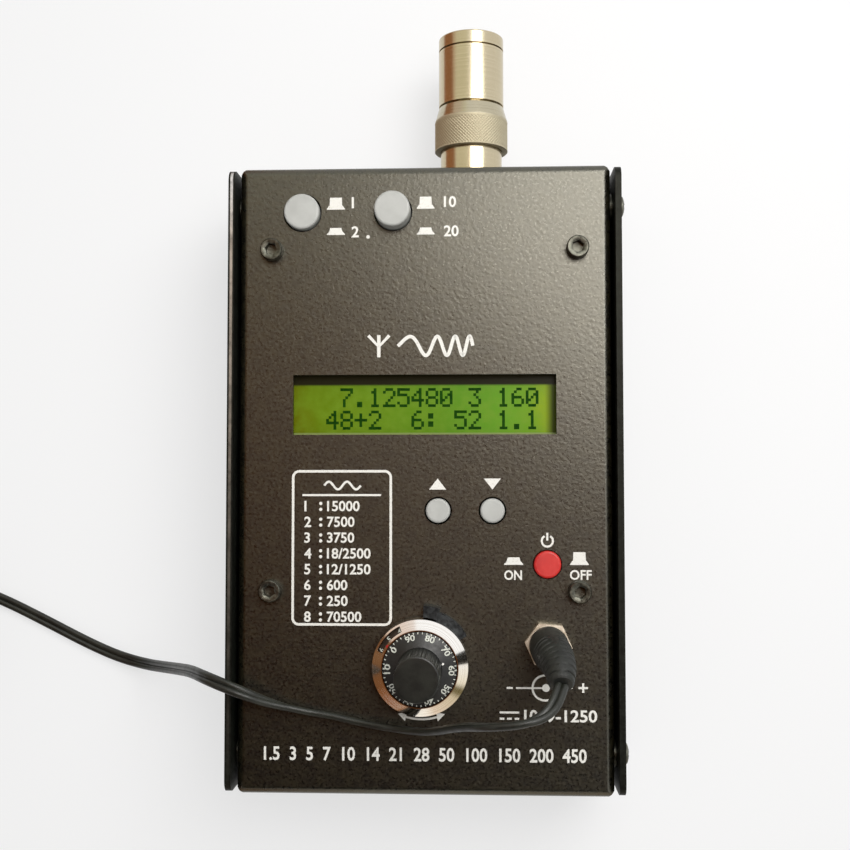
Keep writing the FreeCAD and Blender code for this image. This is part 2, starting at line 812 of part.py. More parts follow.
def dc_jack_nut():
    nut = hexagon(jack_x, jack_y, jack_nut_hex, front_height, front_height + jack_nut_height,
                  jack_nut_turn)
    return nut.cut(jack_disc(jack_neck_r + bore_clear, -1, jack_nut_height + 1))


def plug_sleeve(base, axis):
    """The plug's metal barrel: base is where it leaves the moulding."""
    profile = [(sleeve_bore_r, -sleeve_length), (sleeve_r, -sleeve_length), (sleeve_r, sleeve_grip),
               (sleeve_bore_r, sleeve_grip)]
    return turned(profile, base, axis)


def plug_moulding(base, axis):
    """The straight part of a moulded plug, with its socket for the barrel."""
    profile = [(0, sleeve_grip), (sleeve_r, sleeve_grip), (sleeve_r, 0), (plug_r, 0),
               (plug_r, plug_straight * 0.3), (plug_shoulder_r, plug_straight),
               (0, plug_straight)]
    return turned(profile, base, axis)


def plug_base():
    """Where the fitted plug's barrel leaves its moulding."""
    return V(jack_x, jack_y, front_height + jack_neck_top + plug_seat)


def laid_out(points):
    """Points of the lead or its relief, moved with the jack."""
    shift = V(jack_x - laid_out_from[0], jack_y - laid_out_from[1], 0)
    return [V(*point) + shift for point in points]


def bent_relief():
    """The strain relief: a loft of circles that shrink, faster towards the lead, and turn to it."""
    start = plug_base() + V(0, 0, plug_straight)
    route = laid_out(cord_route)
    centres = [start] + laid_out(relief_bends) + [route[0]]
    normals = [Z_AXIS] + [after - before for before, after in zip(centres, centres[2:])]
    normals.append(route[1] - route[0])
    circles = []
    for i, (centre, normal) in enumerate(zip(centres, normals)):
        share = i / (len(centres) - 1)
        radius = plug_shoulder_r - (plug_shoulder_r - relief_end_r) * share ** 2
        circles.append(Part.Wire(Part.Circle(centre, normal, radius).toShape()))
    return Part.makeLoft(circles, True, False)


def dc_plug():
    return joined(plug_moulding(plug_base(), Z_AXIS), bent_relief())


def dc_plug_sleeve():
    return plug_sleeve(plug_base(), Z_AXIS)


def cord_path(points):
    """Straight runs joined by tangent arcs, each as large as its shorter run allows."""
    edges, start, radii = [], points[0], []
    for before, corner, after in zip(points, points[1:], points[2:]):
        back, ahead = (before - corner), (after - corner)
        reach = 0.45 * min(back.Length, ahead.Length)
        half_turn = (math.pi - back.getAngle(ahead)) / 2
        radii.append(reach / math.tan(half_turn))
        back.normalize()
        ahead.normalize()
        enter, leave = corner + back * reach, corner + ahead * reach
        middle = (back + ahead).normalize()
        apex = corner + middle * (radii[-1] / math.cos(half_turn) - radii[-1])
        edges.append(Part.LineSegment(start, enter).toShape())
        edges.append(Part.Arc(enter, apex, leave).toShape())
        start = leave
    edges.append(Part.LineSegment(start, points[-1]).toShape())
    print("cord radii", [round(r, 1) for r in radii])
    return Part.Wire(edges)


def cord():
    route = laid_out(cord_route)
    path = cord_path(route)
    section = Part.Wire(Part.Circle(route[0], route[1] - route[0], cord_r).toShape())
    lead = path.makePipeShell([section], True, True)
    expected = math.pi * cord_r ** 2 * path.Length
    print("cord length", round(path.Length, 1), "volume share", round(lead.Volume / expected, 4))
    return lead


def coil_lane():
    """The radius of the coil's outer turns."""
    return coil_out_r - cord_r


def coil_lead_in():
    """How far before its tangent point a straight lead meets the coil's outside."""
    return math.sqrt(coil_out_r ** 2 - (coil_lane() - cord_r) ** 2)


def coil_centre():
    """The coil's outer turn carries on from the route's last run."""
    before_last, last = laid_out(cord_route)[-2:]
    ahead = (last - before_last).normalize()
    across = V(-ahead.y, ahead.x, 0)
    centre = last + ahead * coil_lead_in() + across * coil_lane()
    return V(centre.x, centre.y, 0)


def cord_coil():
    centre = coil_centre()
    return tube(centre.x, centre.y, coil_out_r, coil_in_r, 0, coil_height)


def far_plug_base():
    """The far plug lies on the table, in line with the coil's outer turn."""
    reach = math.sqrt(coil_out_r ** 2 - (coil_lane() - relief_end_r) ** 2)
    drop = reach + relief_length + plug_straight
    return coil_centre() + V(-coil_lane(), -drop, plug_r)


def far_plug():
    moulding = plug_moulding(far_plug_base(), Y_AXIS)
    relief = turned([(0, 0), (plug_shoulder_r, 0), (relief_end_r, relief_length),
                     (0, relief_length)], far_plug_base() + V(0, plug_straight, 0), Y_AXIS)
    return joined(moulding, relief)


def far_plug_sleeve():
    return plug_sleeve(far_plug_base(), Y_AXIS)


# RF socket and terminator ------------------------------------------------------

def rf_screw_offsets():
    half = rf_screw_pitch / 2
    return [V(sx * half, 0, sz * half) for sx in (-1, 1) for sz in (-1, 1)]


def rf_turned(profile):
    """Revolve (radius, distance past the end wall) points about the RF axis."""
    return turned(profile, V(rf_x, end_face, rf_z), Y_AXIS)


def rf_socket():
    """The socket's body, with its square flange inside the end wall."""
    inside = -front_sheet
    back = inside - rf_flange_sheet
    barrel = rf_turned([(rf_bore_r, back - rf_boss_back), (rf_boss_r, back - rf_boss_back),
                        (rf_boss_r, back), (rf_barrel_r, back), (rf_barrel_r, rf_barrel_out - 0.5),
                        (rf_barrel_r - 0.5, rf_barrel_out), (rf_bore_r, rf_barrel_out)])
    flange = box(rf_x - rf_flange / 2, rf_x + rf_flange / 2, end_face + back, end_face + inside,
                 rf_z - rf_flange / 2, rf_z + rf_flange / 2)
    start = V(rf_x, end_face + back - 1, rf_z)
    flange = flange.cut(Part.makeCylinder(rf_bore_r, rf_flange_sheet + 2, start, Y_AXIS))
    holes = [Part.makeCylinder(screw_r + bore_clear, rf_flange_sheet + 2, start + offset, Y_AXIS)
             for offset in rf_screw_offsets()]
    return pierced(joined(barrel, flange), *holes)


def rf_insulator():
    back = -front_sheet - rf_flange_sheet - rf_boss_back + rf_insulator_back
    return rf_turned([(rf_contact_r, back), (rf_bore_r, back), (rf_bore_r, rf_insulator_front),
                      (rf_contact_r, rf_insulator_front)])


def rf_contact_tail():
    """The distance past the end wall of the contact's solder end, inside the case."""
    return -front_sheet - rf_flange_sheet - rf_boss_back - rf_contact_back


def rf_contact():
    pin_hole = rf_contact_front - ferrule_reach
    return rf_turned([(0, rf_contact_tail()), (rf_contact_r, rf_contact_tail()),
                      (rf_contact_r, rf_contact_front), (rf_contact_bore_r, rf_contact_front),
                      (rf_contact_bore_r, pin_hole), (0, pin_hole)])


def rf_screw(offset):
    base = V(rf_x, end_face, rf_z) + offset
    return pan_screw(base, V(0, -1, 0), front_sheet + rf_flange_sheet + 1.0,
                     rf_head_r, rf_head_height)


def rf_lead():
    """A stiff wire from the socket's contact down to the board."""
    start_y = end_face + rf_contact_tail()
    land_y = board_notch_y - rf_wire_landing
    return bent_wire([(rf_x, start_y, rf_z), (rf_x, land_y, rf_z), (rf_x, land_y, board_top)],
                     wire_r)


def coupling_nut():
    """Knurled below, coned above, with a lip that runs on the terminator's neck."""
    bore = rf_barrel_r + nut_thread_clear
    lip_r = neck_r + neck_clear
    return rf_turned([(bore, nut_start), (nut_r - 0.4, nut_start), (nut_r, nut_start + 0.4),
                      (nut_r, nut_knurl_end), (nut_top_r, nut_end), (lip_r, nut_end),
                      (lip_r, nut_end - nut_lip), (bore, nut_end - nut_lip)])


def terminator():
    """The load's body: ferrule, neck with its flange, and the long barrel."""
    neck_start = rf_barrel_out + neck_start_gap
    flange_end = neck_start + neck_flange_sheet
    shoulder = nut_end + body_gap
    tip = rf_barrel_out - ferrule_reach
    stem_end = body_end - cap_stem_length
    load_bore = load_r + load_clear
    stem_bore = cap_stem_r + load_clear
    return rf_turned([(ferrule_bore_r, tip), (ferrule_r, tip), (ferrule_r, neck_start),
                      (neck_flange_r, neck_start), (neck_flange_r, flange_end),
                      (neck_r, flange_end), (neck_r, shoulder), (body_r, shoulder),
                      (body_r, body_end), (stem_bore, body_end), (stem_bore, stem_end),
                      (load_bore, stem_end), (load_bore, shoulder), (ferrule_bore_r, shoulder)])


def terminator_cap():
    """The end cap, pressed into the barrel with a fine gap showing."""
    low = body_end + cap_gap
    cap = rf_turned([(0, low), (body_r, low), (body_r, cap_end), (0, cap_end)])
    rim = edges_where(cap, lambda e: abs(e.BoundBox.YMin - end_face - cap_end) < 1e-6)
    cap = cap.makeFillet(min(cap_round, 0.9 * (cap_end - low)), rim)
    stem = rf_turned([(0, body_end - cap_stem_length), (cap_stem_r, body_end - cap_stem_length),
                      (cap_stem_r, low), (0, low)])
    return joined(cap, stem)


def load_resistor():
    shoulder = nut_end + body_gap
    return rf_turned([(0, shoulder), (load_r, shoulder), (load_r, body_end - cap_stem_length),
                      (0, body_end - cap_stem_length)])


def terminator_pin():
    shoulder = nut_end + body_gap
    tip = rf_contact_front - pin_reach
    return rf_turned([(0, tip), (pin_r / 2, tip), (pin_r, tip + 1), (pin_r, rf_barrel_out),
                      (2 * pin_r, rf_barrel_out), (2 * pin_r, shoulder), (0, shoulder)])


def write_parts():
    save("front_cover", front_cover())
    save("back_cover", back_cover())
    save("case_nuts", *[case_nut(side, y) for side, y in side_screw_places])
    save("side_screws", *[side_screw(side, y) for side, y in side_screw_places])
    save("front_screws", *[front_screw(x, y) for x, y in front_screw_places])
    save("standoffs", *[standoff(x, y) for x, y in front_screw_places])
    save("board_screws", *[pan_screw(V(x, y, board_bottom), Z_AXIS, board_sheet + front_screw_bite)
                           for x, y in front_screw_places])
    save("main_board", main_board())
    save("lcd_board", lcd_board())
    save("lcd_bezel", lcd_bezel())
    save("lcd_glass", inside_bezel(glass_face - glass_thick, glass_face))
    save("lcd_backlight", inside_bezel(lcd_board_top, glass_face - glass_thick))
    save("lcd_spacers", *[lcd_spacer(x, y) for x, y in lcd_hole_places()])
    save("lcd_screws", *[lcd_screw(x, y) for x, y in lcd_hole_places()])
    save("lcd_header", lcd_header())
    save("microcontroller", microcontroller())
    save("oscillator_can", oscillator_can())
    save("band_coils", *[band_coil(x, lcd_y - drop) for x, drop in coil_places])
    save("regulator", regulator())
    save("internal_wires", *internal_wires())

    left_top = front_height + band_raised - band_travel
    right_top = front_height + band_raised
    power_top = front_height + power_raised - power_travel
    buttons = [("left_band", left_band_x, band_y, band_cap_r, left_top, switch_side),
               ("right_band", right_band_x, band_y, band_cap_r, right_top, switch_side),
               ("power", power_x, power_y, power_cap_r, power_top, small_switch_side)]
    for name, x, y, r, top, side in buttons:
        save(name + "_button", button_cap(x, y, r, top))
        save(name + "_plunger", button_plunger(x, y, top))
        save(name + "_switch", push_switch(x, y, side))
    for name, x in (("up", up_x), ("down", down_x)):
        save(name + "_button", step_button(x))
        save(name + "_switch", step_switch(x))

    save("tuning_pot", tuning_pot())
    save("pot_shaft", pot_shaft())
    save("pot_nut", pot_nut())
    save("dial_base", dial_base())
    save("dial_ring", dial_ring())
    save("counter_ring", counter_ring())
    save("dial_skirt", dial_skirt())
    save("tuning_knob", tuning_knob())
    save("dial_lock", dial_lock())

    save("dc_jack", dc_jack())
    save("dc_jack_pin", dc_jack_pin())
    save("dc_jack_nut", dc_jack_nut())
    save("dc_plug", dc_plug())
    save("dc_plug_sleeve", dc_plug_sleeve())
    save("cord", cord())
    save("cord_coil", cord_coil())
    save("far_plug", far_plug())
    save("far_plug_sleeve", far_plug_sleeve())

    save("rf_socket", rf_socket())
    save("rf_insulator", rf_insulator())
    save("rf_contact", rf_contact())
    save("rf_screws", *[rf_screw(offset) for offset in rf_screw_offsets()])
    save("coupling_nut", coupling_nut())
    save("terminator", terminator())
    save("terminator_cap", terminator_cap())
    save("load_resistor", load_resistor())
    save("terminator_pin", terminator_pin())


os.makedirs("parts", exist_ok=True)
write_parts()
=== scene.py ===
import math

import bmesh
import bpy
import numpy as np
from mathutils import Matrix, Vector


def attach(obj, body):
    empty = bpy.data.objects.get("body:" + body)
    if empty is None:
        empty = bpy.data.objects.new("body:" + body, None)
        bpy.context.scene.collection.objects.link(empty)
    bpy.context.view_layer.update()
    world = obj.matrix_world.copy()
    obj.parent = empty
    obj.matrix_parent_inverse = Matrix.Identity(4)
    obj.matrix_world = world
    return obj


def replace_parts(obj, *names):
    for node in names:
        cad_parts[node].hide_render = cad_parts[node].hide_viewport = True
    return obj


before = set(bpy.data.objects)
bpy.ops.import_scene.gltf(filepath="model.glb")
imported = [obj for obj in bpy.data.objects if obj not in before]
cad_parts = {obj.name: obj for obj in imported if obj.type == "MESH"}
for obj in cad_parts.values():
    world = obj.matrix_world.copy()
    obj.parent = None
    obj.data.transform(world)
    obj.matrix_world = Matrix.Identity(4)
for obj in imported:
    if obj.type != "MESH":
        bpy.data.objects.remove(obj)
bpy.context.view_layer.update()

# The antenna analyzer's looks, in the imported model's frame. The sizes of printed and turned
# shapes are in millimetres, and MM turns them into the frame's metres.
MM = 0.001
DIAL = (-0.7, -45.3)                # the dial's axis
PANEL_TOP = 42.0                    # the panel's face
GLASS_TOP = 38.5                    # the display's face
SOCKET_FOOT = (11.6, 77.2, 22.1)    # the RF socket's axis, at the end wall
scene = bpy.context.scene
scene.view_settings.view_transform = "Standard"


def put(name, data):
    """A new object in the scene."""
    made = bpy.data.objects.new(name, data)
    scene.collection.objects.link(made)
    return made


# Camera ----------------

def overhead_camera():
    """Looks down on the panel from about 0.29 m above it, tilted a few degrees."""
    data = bpy.data.cameras.new("overhead")
    data.sensor_width, data.lens = 36.0, 49.824
    data.clip_start, data.clip_end = 0.01, 20.0
    turn = Matrix.Identity(3)
    for angle, axis in ((-2.641, "X"), (-2.616, "Y"), (0.147, "Z")):
        turn = Matrix.Rotation(math.radians(angle), 3, axis) @ turn
    place = Matrix.Translation((0.01340, -0.00046, 0.33043))
    camera = put("overhead", data)
    camera.matrix_world = place @ turn.transposed().to_4x4()
    scene.camera = camera


overhead_camera()


# Meshes ----------------

def link(name, mesh, finish, body, sharp=35):
    """Makes a mesh a piece: smooth faces with its sharp edges kept, a finish, and the body that
    it rides on."""
    mesh.shade_smooth()
    mesh.set_sharp_from_angle(angle=math.radians(sharp))
    mesh.materials.append(finish)
    piece = put(name, mesh)
    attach(piece, body)
    return piece


def skin(name, grids, finish, body, sharp=35):
    """A piece with a skin over each grid of points, rows by columns. Each cell is a quad, the last
    column joins the first, and a row that shrinks to a point closes the skin there."""
    corners, quads, start = [], [], 0
    for grid in grids:
        rows, columns = grid.shape[:2]
        index = start + np.arange(rows * columns).reshape(rows, columns)
        index = np.hstack([index, index[:, :1]])
        quads.append(np.stack([index[:-1, :-1], index[:-1, 1:], index[1:, 1:], index[1:, :-1]],
                              -1).reshape(-1, 4))
        corners.append(grid.reshape(-1, 3))
        start += rows * columns
    mesh = bpy.data.meshes.new(name)
    mesh.from_pydata(np.concatenate(corners).tolist(), [], np.concatenate(quads).tolist())
    work = bmesh.new()
    work.from_mesh(mesh)
    bmesh.ops.remove_doubles(work, verts=work.verts, dist=1e-7)
    bmesh.ops.recalc_face_normals(work, faces=work.faces)
    work.to_mesh(mesh)
    work.free()
    return link(name, mesh, finish, body, sharp)


def round_about(columns):
    """Even directions all round, in radians."""
    return np.linspace(0, 2 * np.pi, columns, endpoint=False)


def polar(radius, angle, height, middle=(0.0, 0.0)):
    """Points round a middle, from their radius, angle and height."""
    return np.stack(np.broadcast_arrays(middle[0] + radius * np.cos(angle),
                                        middle[1] + radius * np.sin(angle), height), -1)


def unit(vectors):
    """Vectors scaled to length 1."""
    return vectors / np.linalg.norm(vectors, axis=1, keepdims=True)


def travelled(path):
    """How far along a path each of its points lies."""
    return np.append(0.0, np.cumsum(np.linalg.norm(np.diff(path, axis=0), axis=1)))


def capped(path, rings):
    """A tube's rings, closed by its path's end points as rings of no size."""
    first, last = (path[i].reshape(1, 1, 3).repeat(rings.shape[1], 1) for i in (0, -1))
    return np.concatenate([first, rings, last])


def finely(profile, step):
    """More points on a profile's straight lines, at most step apart, in millimetres."""
    profile = np.array(profile, float)
    parts = [np.linspace(a, b, max(2, int(math.ceil(np.linalg.norm(b - a) / step)) + 1))[:-1]
             for a, b in zip(profile, profile[1:])]
    return np.concatenate(parts + [profile[-1:]])


def turned(profile, columns, relief):
    """A profile of (radius, height) turned about Z, in millimetres. relief(angle, radius, height)
    is taken off the radius, so it can cut a knurl or flutes."""
    angle = round_about(columns)[None, :]
    radius, height = profile[:, :1], profile[:, 1:]
    return polar(np.maximum(radius - relief(angle, radius, height), 0.0), angle, height)


def stand(points, origin, axis=(0, 0, 1)):
    """Turns points so that their Z runs along axis, moves them to origin, and gives metres."""
    turn = np.array(Vector((0, 0, 1)).rotation_difference(Vector(axis)).to_matrix())
    return (points @ turn.T + np.array(origin)) * MM


def swept(path, section, radius_of):
    """A section of (across, up) points carried along a path. Each ring stands square to the path,
    its first direction level, and is scaled by radius_of(length so far, angle of the point)."""
    ahead = unit(np.gradient(path, axis=0))
    first = np.cross(ahead[0], (1.0, 0.0, 0.0))
    side = unit(first - ahead * (ahead @ first)[:, None])
    up = np.cross(ahead, side)
    scale = radius_of(travelled(path)[:, None], np.arctan2(section[:, 1], section[:, 0])[None, :])
    across = section[None, :, :1] * side[:, None] + section[None, :, 1:] * up[:, None]
    return capped(path, path[:, None] + scale[..., None] * across)


# Finishes ----------------

def srgb(red, green, blue):
    """A colour as a screen shows it, 0 to 255, to linear light."""
    value = np.array([red, green, blue]) / 255.0
    linear = np.where(value <= 0.04045, value / 12.92, ((value + 0.055) / 1.055) ** 2.4)
    return (*linear.tolist(), 1.0)


def wire(tree, kind, inputs=(), **settings):
    """A new node: its settings, and its inputs linked to a socket or set to a value."""
    made = tree.nodes.new("ShaderNode" + kind)
    for key, value in settings.items():
        setattr(made, key, value)
    for key, value in dict(inputs).items():
        if isinstance(value, bpy.types.NodeSocket):
            tree.links.new(value, made.inputs[key])
        else:
            made.inputs[key].default_value = value
    return made


def ramp(tree, share, stops):
    """A colour ramp: stops are (position, tone), a tone being as a screen shows it, 0 to 255."""
    made = wire(tree, "ValToRGB", {"Fac": share})
    points = made.color_ramp.elements
    for point, (position, tone) in zip(points, (stops[0], stops[-1])):
        point.position, point.color = position, srgb(*tone)
    for position, tone in stops[1:-1]:
        points.new(position).color = srgb(*tone)
    return made.outputs["Color"]


class Finish:
    """A node material with a few helpers for its patterns."""

    def __init__(self, name, metallic=0.0, **constants):
        self.material = bpy.data.materials.new(name)
        self.material.use_nodes = True
        self.tree = self.material.node_tree
        self.shader = self.tree.nodes["Principled BSDF"]
        self.shader.inputs["Metallic"].default_value = metallic
        for socket, value in constants.items():
            self.shader.inputs[socket.replace("_", " ")].default_value = value
        self.place = self.node("TexCoord").outputs["Object"]

    def node(self, kind, inputs=(), **settings):
        return wire(self.tree, kind, inputs, **settings)

    def stretched(self, scale, centre):
        """Object coordinates about a centre, stretched by a scale on each axis."""
        moved = self.node("VectorMath", {0: self.place, 1: centre}, operation="SUBTRACT")
        return self.node("Mapping", {"Vector": moved.outputs[0], "Scale": scale}).outputs[0]

    def noise(self, scale, detail=3.0, rough=0.5):
        made = self.node("TexNoise", {"Vector": self.place, "Scale": scale,
                                      "Detail": detail, "Roughness": rough})
        return made.outputs["Fac"]

    def spread(self, value, low, high, to_low, to_high):
        made = self.node("MapRange", {"Value": value, "From Min": low, "From Max": high,
                                      "To Min": to_low, "To Max": to_high})
        return made.outputs["Result"]

    def off_axis(self, centre):
        """Distance from an upright axis."""
        return self.node("VectorMath", {0: self.stretched((1, 1, 0), centre)},
                         operation="LENGTH").outputs["Value"]

    def line_noise(self, place, scale):
        """Noise along one measure, such as a distance, so that it makes rings or lines."""
        made = self.node("TexNoise", {"W": place, "Scale": scale, "Detail": 3.0},
                         noise_dimensions="1D")
        return made.outputs["Fac"]

    def maths(self, operation, first, second):
        return self.node("Math", {0: first, 1: second}, operation=operation).outputs[0]

    def blended(self, first, second, share):
        """Two patterns in one: the second by its share, the first by the rest."""
        return self.maths("ADD", self.maths("MULTIPLY", first, 1 - share),
                          self.maths("MULTIPLY", second, share))

    def tones(self, value, *stops):
        return ramp(self.tree, value, stops)

    def mixed(self, share, first, second):
        """The second colour laid over the first by a share. Each is a socket or a tone."""
        first, second = (colour if isinstance(colour, bpy.types.NodeSocket) else srgb(*colour)
                         for colour in (first, second))
        return self.node("Mix", {"Factor": share, 6: first, 7: second},
                         data_type="RGBA").outputs[2]

    def colour(self, value):
        self.tree.links.new(value, self.shader.inputs["Base Color"])

    def roughness(self, value):
        self.tree.links.new(value, self.shader.inputs["Roughness"])

    def bump(self, height, distance, strength):
        made = self.node("Bump", {"Height": height, "Distance": distance, "Strength": strength})
        self.tree.links.new(made.outputs["Normal"], self.shader.inputs["Normal"])


def coat(name, dark, light, rough, gloss, wear_and_highlight=None):
    """Textured powder coat: slow mottling, fine speckle, and a pebbled skin. The last argument is
    (height, x, half width, fade): above that height a cut edge gets a painted highlight, standing
    for light on a rounded rim, in a line along the middle of its thickness, fading towards one end
    and paling towards white near the top end."""
    made = Finish(name, Specular_IOR_Level=gloss, IOR=1.58, Specular_Tint=(1.0, 0.975, 0.83, 1.0))
    fine = made.noise(1500.0, 2.0, rough=0.6)
    body = made.tones(made.blended(made.noise(420.0), fine, 0.45), (0.42, dark), (0.58, light))
    if wear_and_highlight:
        height, middle, half, fade = wear_and_highlight
        spot = made.node("SeparateXYZ", {"Vector": made.place}).outputs
        top = made.spread(spot["Z"], height - 1.6 * MM, height - 0.2 * MM, 0.0, 1.0)
        across = made.maths("ABSOLUTE", made.maths("ADD", spot["X"], -middle), 0.0)
        line = made.spread(across, half * 0.55, half, 1.0, 0.0)
        along = made.maths("POWER", made.spread(spot["Y"], *fade, 0.1, 1.0), 2.0)
        patchy = made.spread(made.noise(260.0, 5.0, rough=0.65), 0.34, 0.6, 0.4, 1.0)
        # Painted highlight: a pale line along the rim's middle, standing for light on a rounded
        # edge.
        painted_highlight = top
        for share in (line, along, patchy):
            painted_highlight = made.maths("MULTIPLY", painted_highlight, share)
        # The painted highlight's tone, paling to white near the wall's top end.
        highlight_tone = made.mixed(made.spread(spot["Y"], 58 * MM, 74 * MM, 0.0, 1.0),
                          (206, 190, 174), (246, 242, 238))
        body = made.mixed(painted_highlight, body, highlight_tone)
    made.colour(body)
    made.roughness(made.spread(fine, 0.3, 0.7, *rough))
    made.bump(made.noise(1100.0, 2.0, rough=0.55), 0.00009, 0.6)
    return made.material


def plastic(name, dark, light, scale, rough, grain=2400.0, depth=0.00002):
    """Moulded plastic or rubber: faint mottling and a fine moulded skin."""
    made = Finish(name)
    made.colour(made.tones(made.noise(scale), (0.35, dark), (0.65, light)))
    made.roughness(made.spread(made.noise(grain * 0.4, 2.0), 0.3, 0.7, *rough))
    made.bump(made.noise(grain, 2.0), depth, 0.5)
    return made.material


def metal(name, dark, light, rough, centre=None, scale=900.0, depth=0.000004, stain=0.25):
    """Metal with fine tool marks. With a centre the marks are rings round an upright axis, as
    turning leaves them, and without one they are an even grain. stain is the share of slow
    tarnish."""
    made = Finish(name, metallic=1.0)
    if centre:
        marks = made.line_noise(made.off_axis(centre), scale)
    else:
        marks = made.noise(scale, 4.0, rough=0.6)
    made.colour(made.tones(made.blended(marks, made.noise(110.0, 4.0), stain),
                           (0.35, dark), (0.62, light)))
    made.roughness(made.spread(marks, 0.3, 0.7, *rough))
    made.bump(marks, depth, 0.6)
    return made.material


def turned_metal(name, dark, light, rough, axis, scale, depth, polish=None):
    """Turned metal: lathe lines square to an axis, "X", "Y" or "Z", and faint tarnish. Where polish
    is given, as two places along the axis, the metal past them is smooth."""
    made = Finish(name, metallic=1.0)
    run = made.node("SeparateXYZ", {"Vector": made.place}).outputs[axis]
    lines = made.line_noise(run, scale)
    made.colour(made.tones(made.blended(lines, made.noise(90.0), 0.5),
                           (0.35, dark), (0.62, light)))
    matt = made.spread(lines, 0.3, 0.7, *rough)
    if polish:
        matt = made.maths("MULTIPLY", matt, made.spread(run, *polish, 1.0, 0.3))
    made.roughness(matt)
    made.bump(lines, depth, 0.5)
    return made.material


def liquid_crystal(name, middle, reach):
    """The lit display: yellow-green, mustard at its left end and yellower at its right end, faintly
    cloudy, with a dark band along the top that is its black surround and a painted shadow of the
    window's edge, a painted shadow darkening the right end, and a painted highlight, a pale line
    along the foot. It glows a little, as its backlight makes it."""
    made = Finish(name, Roughness=0.25, Emission_Strength=0.06, Specular_IOR_Level=0.12)
    spot = made.node("SeparateXYZ", {"Vector": made.stretched((1, 1, 1), middle)}).outputs
    share = made.maths("ADD", made.spread(spot["X"], -reach, reach, 0.0, 1.0),
                       made.spread(made.noise(70.0), 0.3, 0.7, -0.05, 0.05))
    body = made.tones(share, (0.02, (101, 110, 3)), (0.10, (100, 124, 9)), (0.22, (98, 130, 16)),
                      (0.45, (94, 134, 18)), (0.62, (90, 140, 24)), (0.78, (96, 150, 26)),
                      (0.90, (106, 152, 20)), (0.97, (134, 160, 6)))
    # (pattern, from, to, share at from, share at to, tone)
    overlays = [(made.noise(420.0, 2.0), 0.35, 0.7, 0.0, 0.4, (116, 150, 36)),    # cloudiness
                # Painted shadow: the right end darkened as the window's edge shades it.
                (spot["X"], 29.8 * MM, 31.8 * MM, 0.0, 0.85, (40, 42, 4)),        # right end
                # Painted highlight: a pale line along the foot, standing for the window's lit cut
                # edge.
                (spot["Y"], -7.0 * MM, -6.7 * MM, 1.0, 0.0, (134, 148, 86)),      # foot
                # The black surround along the top, widened by a painted shadow of the window's top
                # edge.
                (spot["Y"], 4.8 * MM, 5.3 * MM, 0.0, 1.0, (38, 36, 18))]          # top
    for pattern, *steps, tone in overlays:
        body = made.mixed(made.spread(pattern, *steps), body, tone)
    made.colour(body)
    made.tree.links.new(body, made.shader.inputs["Emission Color"])
    made.bump(made.noise(900.0), 0.000002, 0.3)
    return made.material


def printed(name, ink, wear_and_highlight):
    """Screen-printed ink with small pinholes, a little uneven in tone."""
    made = Finish(name, Roughness=0.5)
    made.colour(made.tones(made.noise(1500.0, 4.0, rough=0.7), (0.28, wear_and_highlight), (0.45, ink)))
    made.bump(made.noise(3000.0), 0.000004, 0.4)
    return made.material


def circuit_board(name, mask, copper):
    """Solder mask with copper tracks in two directions showing through it."""
    made = Finish(name, Roughness=0.3)
    tracks = made.node("TexBrick", {"Vector": made.place, "Color1": srgb(*mask),
                                    "Color2": srgb(*copper), "Mortar": srgb(*mask),
                                    "Scale": 90.0, "Mortar Size": 0.03})
    made.colour(made.mixed(made.spread(made.noise(120.0), 0.45, 0.55, 0.15, 0.7), mask,
                           tracks.outputs["Color"]))
    made.bump(tracks.outputs["Fac"], 0.00003, 0.4)
    return made.material


def wear(finish, *names):
    """Puts a finish on nodes of the frame."""
    for name in names:
        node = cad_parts[name]
        if not node.material_slots:
            node.data.materials.append(finish)
        for place in node.material_slots:
            place.material = finish
    return finish


wear(coat("black_powder_coat", (2, 2, 1), (25, 22, 10), (0.25, 0.38), 1.0), "front_cover")
# The left wall's rim carries a painted highlight line.
wear(coat("wall_powder_coat", (16, 17, 14), (27, 29, 25), (0.4, 0.52), 0.12,
          wear_and_highlight=(44.87 * MM, -47.54 * MM, 0.42 * MM, (-75 * MM, 78 * MM))), "back_cover")
screw_black = wear(metal("black_oxide_screw", (58, 58, 52), (112, 112, 102), (0.3, 0.45),
                         depth=0.000006), "side_screws", "front_screws", "rf_screws", "case_nuts")
wear(metal("bright_zinc", (150, 152, 150), (198, 200, 198), (0.25, 0.4)),
     "standoffs", "board_screws", "lcd_spacers", "lcd_screws")
wear(metal("tinned_can", (150, 148, 140), (205, 202, 192), (0.22, 0.35)), "oscillator_can")
wear(turned_metal("turned_nickel", (190, 178, 149), (200, 188, 160), (0.19, 0.23), "Y", 2600.0,
                  0.0000004), "terminator", "terminator_cap", "rf_socket")
nickel_knurl = wear(turned_metal("knurled_nickel", (178, 169, 145), (190, 182, 158), (0.6, 0.68),
                                 "Y", 2600.0, 0.0000004, (93.7 * MM, 94.3 * MM)), "coupling_nut")
wear(metal("bright_nickel", (206, 192, 170), (244, 234, 216), (0.42, 0.52)),
     "dc_jack_nut", "dc_plug_sleeve", "far_plug_sleeve")
wear(metal("plated_brass", (176, 140, 70), (214, 184, 110), (0.25, 0.38)),
     "dc_jack_pin", "rf_contact", "terminator_pin")
wear(metal("turned_chrome", (236, 231, 224), (252, 250, 246), (0.10, 0.18),
           (DIAL[0] * MM, DIAL[1] * MM, 0.0), 5200.0, 0.0000015, 0.1), "dial_ring")
wear(metal("blued_lever", (30, 32, 34), (70, 74, 76), (0.36, 0.5)), "dial_lock")
wear(metal("ground_shaft", (150, 150, 148), (205, 205, 202), (0.2, 0.3)), "pot_shaft")
wear(metal("pot_plating", (160, 156, 140), (206, 202, 188), (0.25, 0.35)),
     "tuning_pot", "pot_nut", "dial_base")
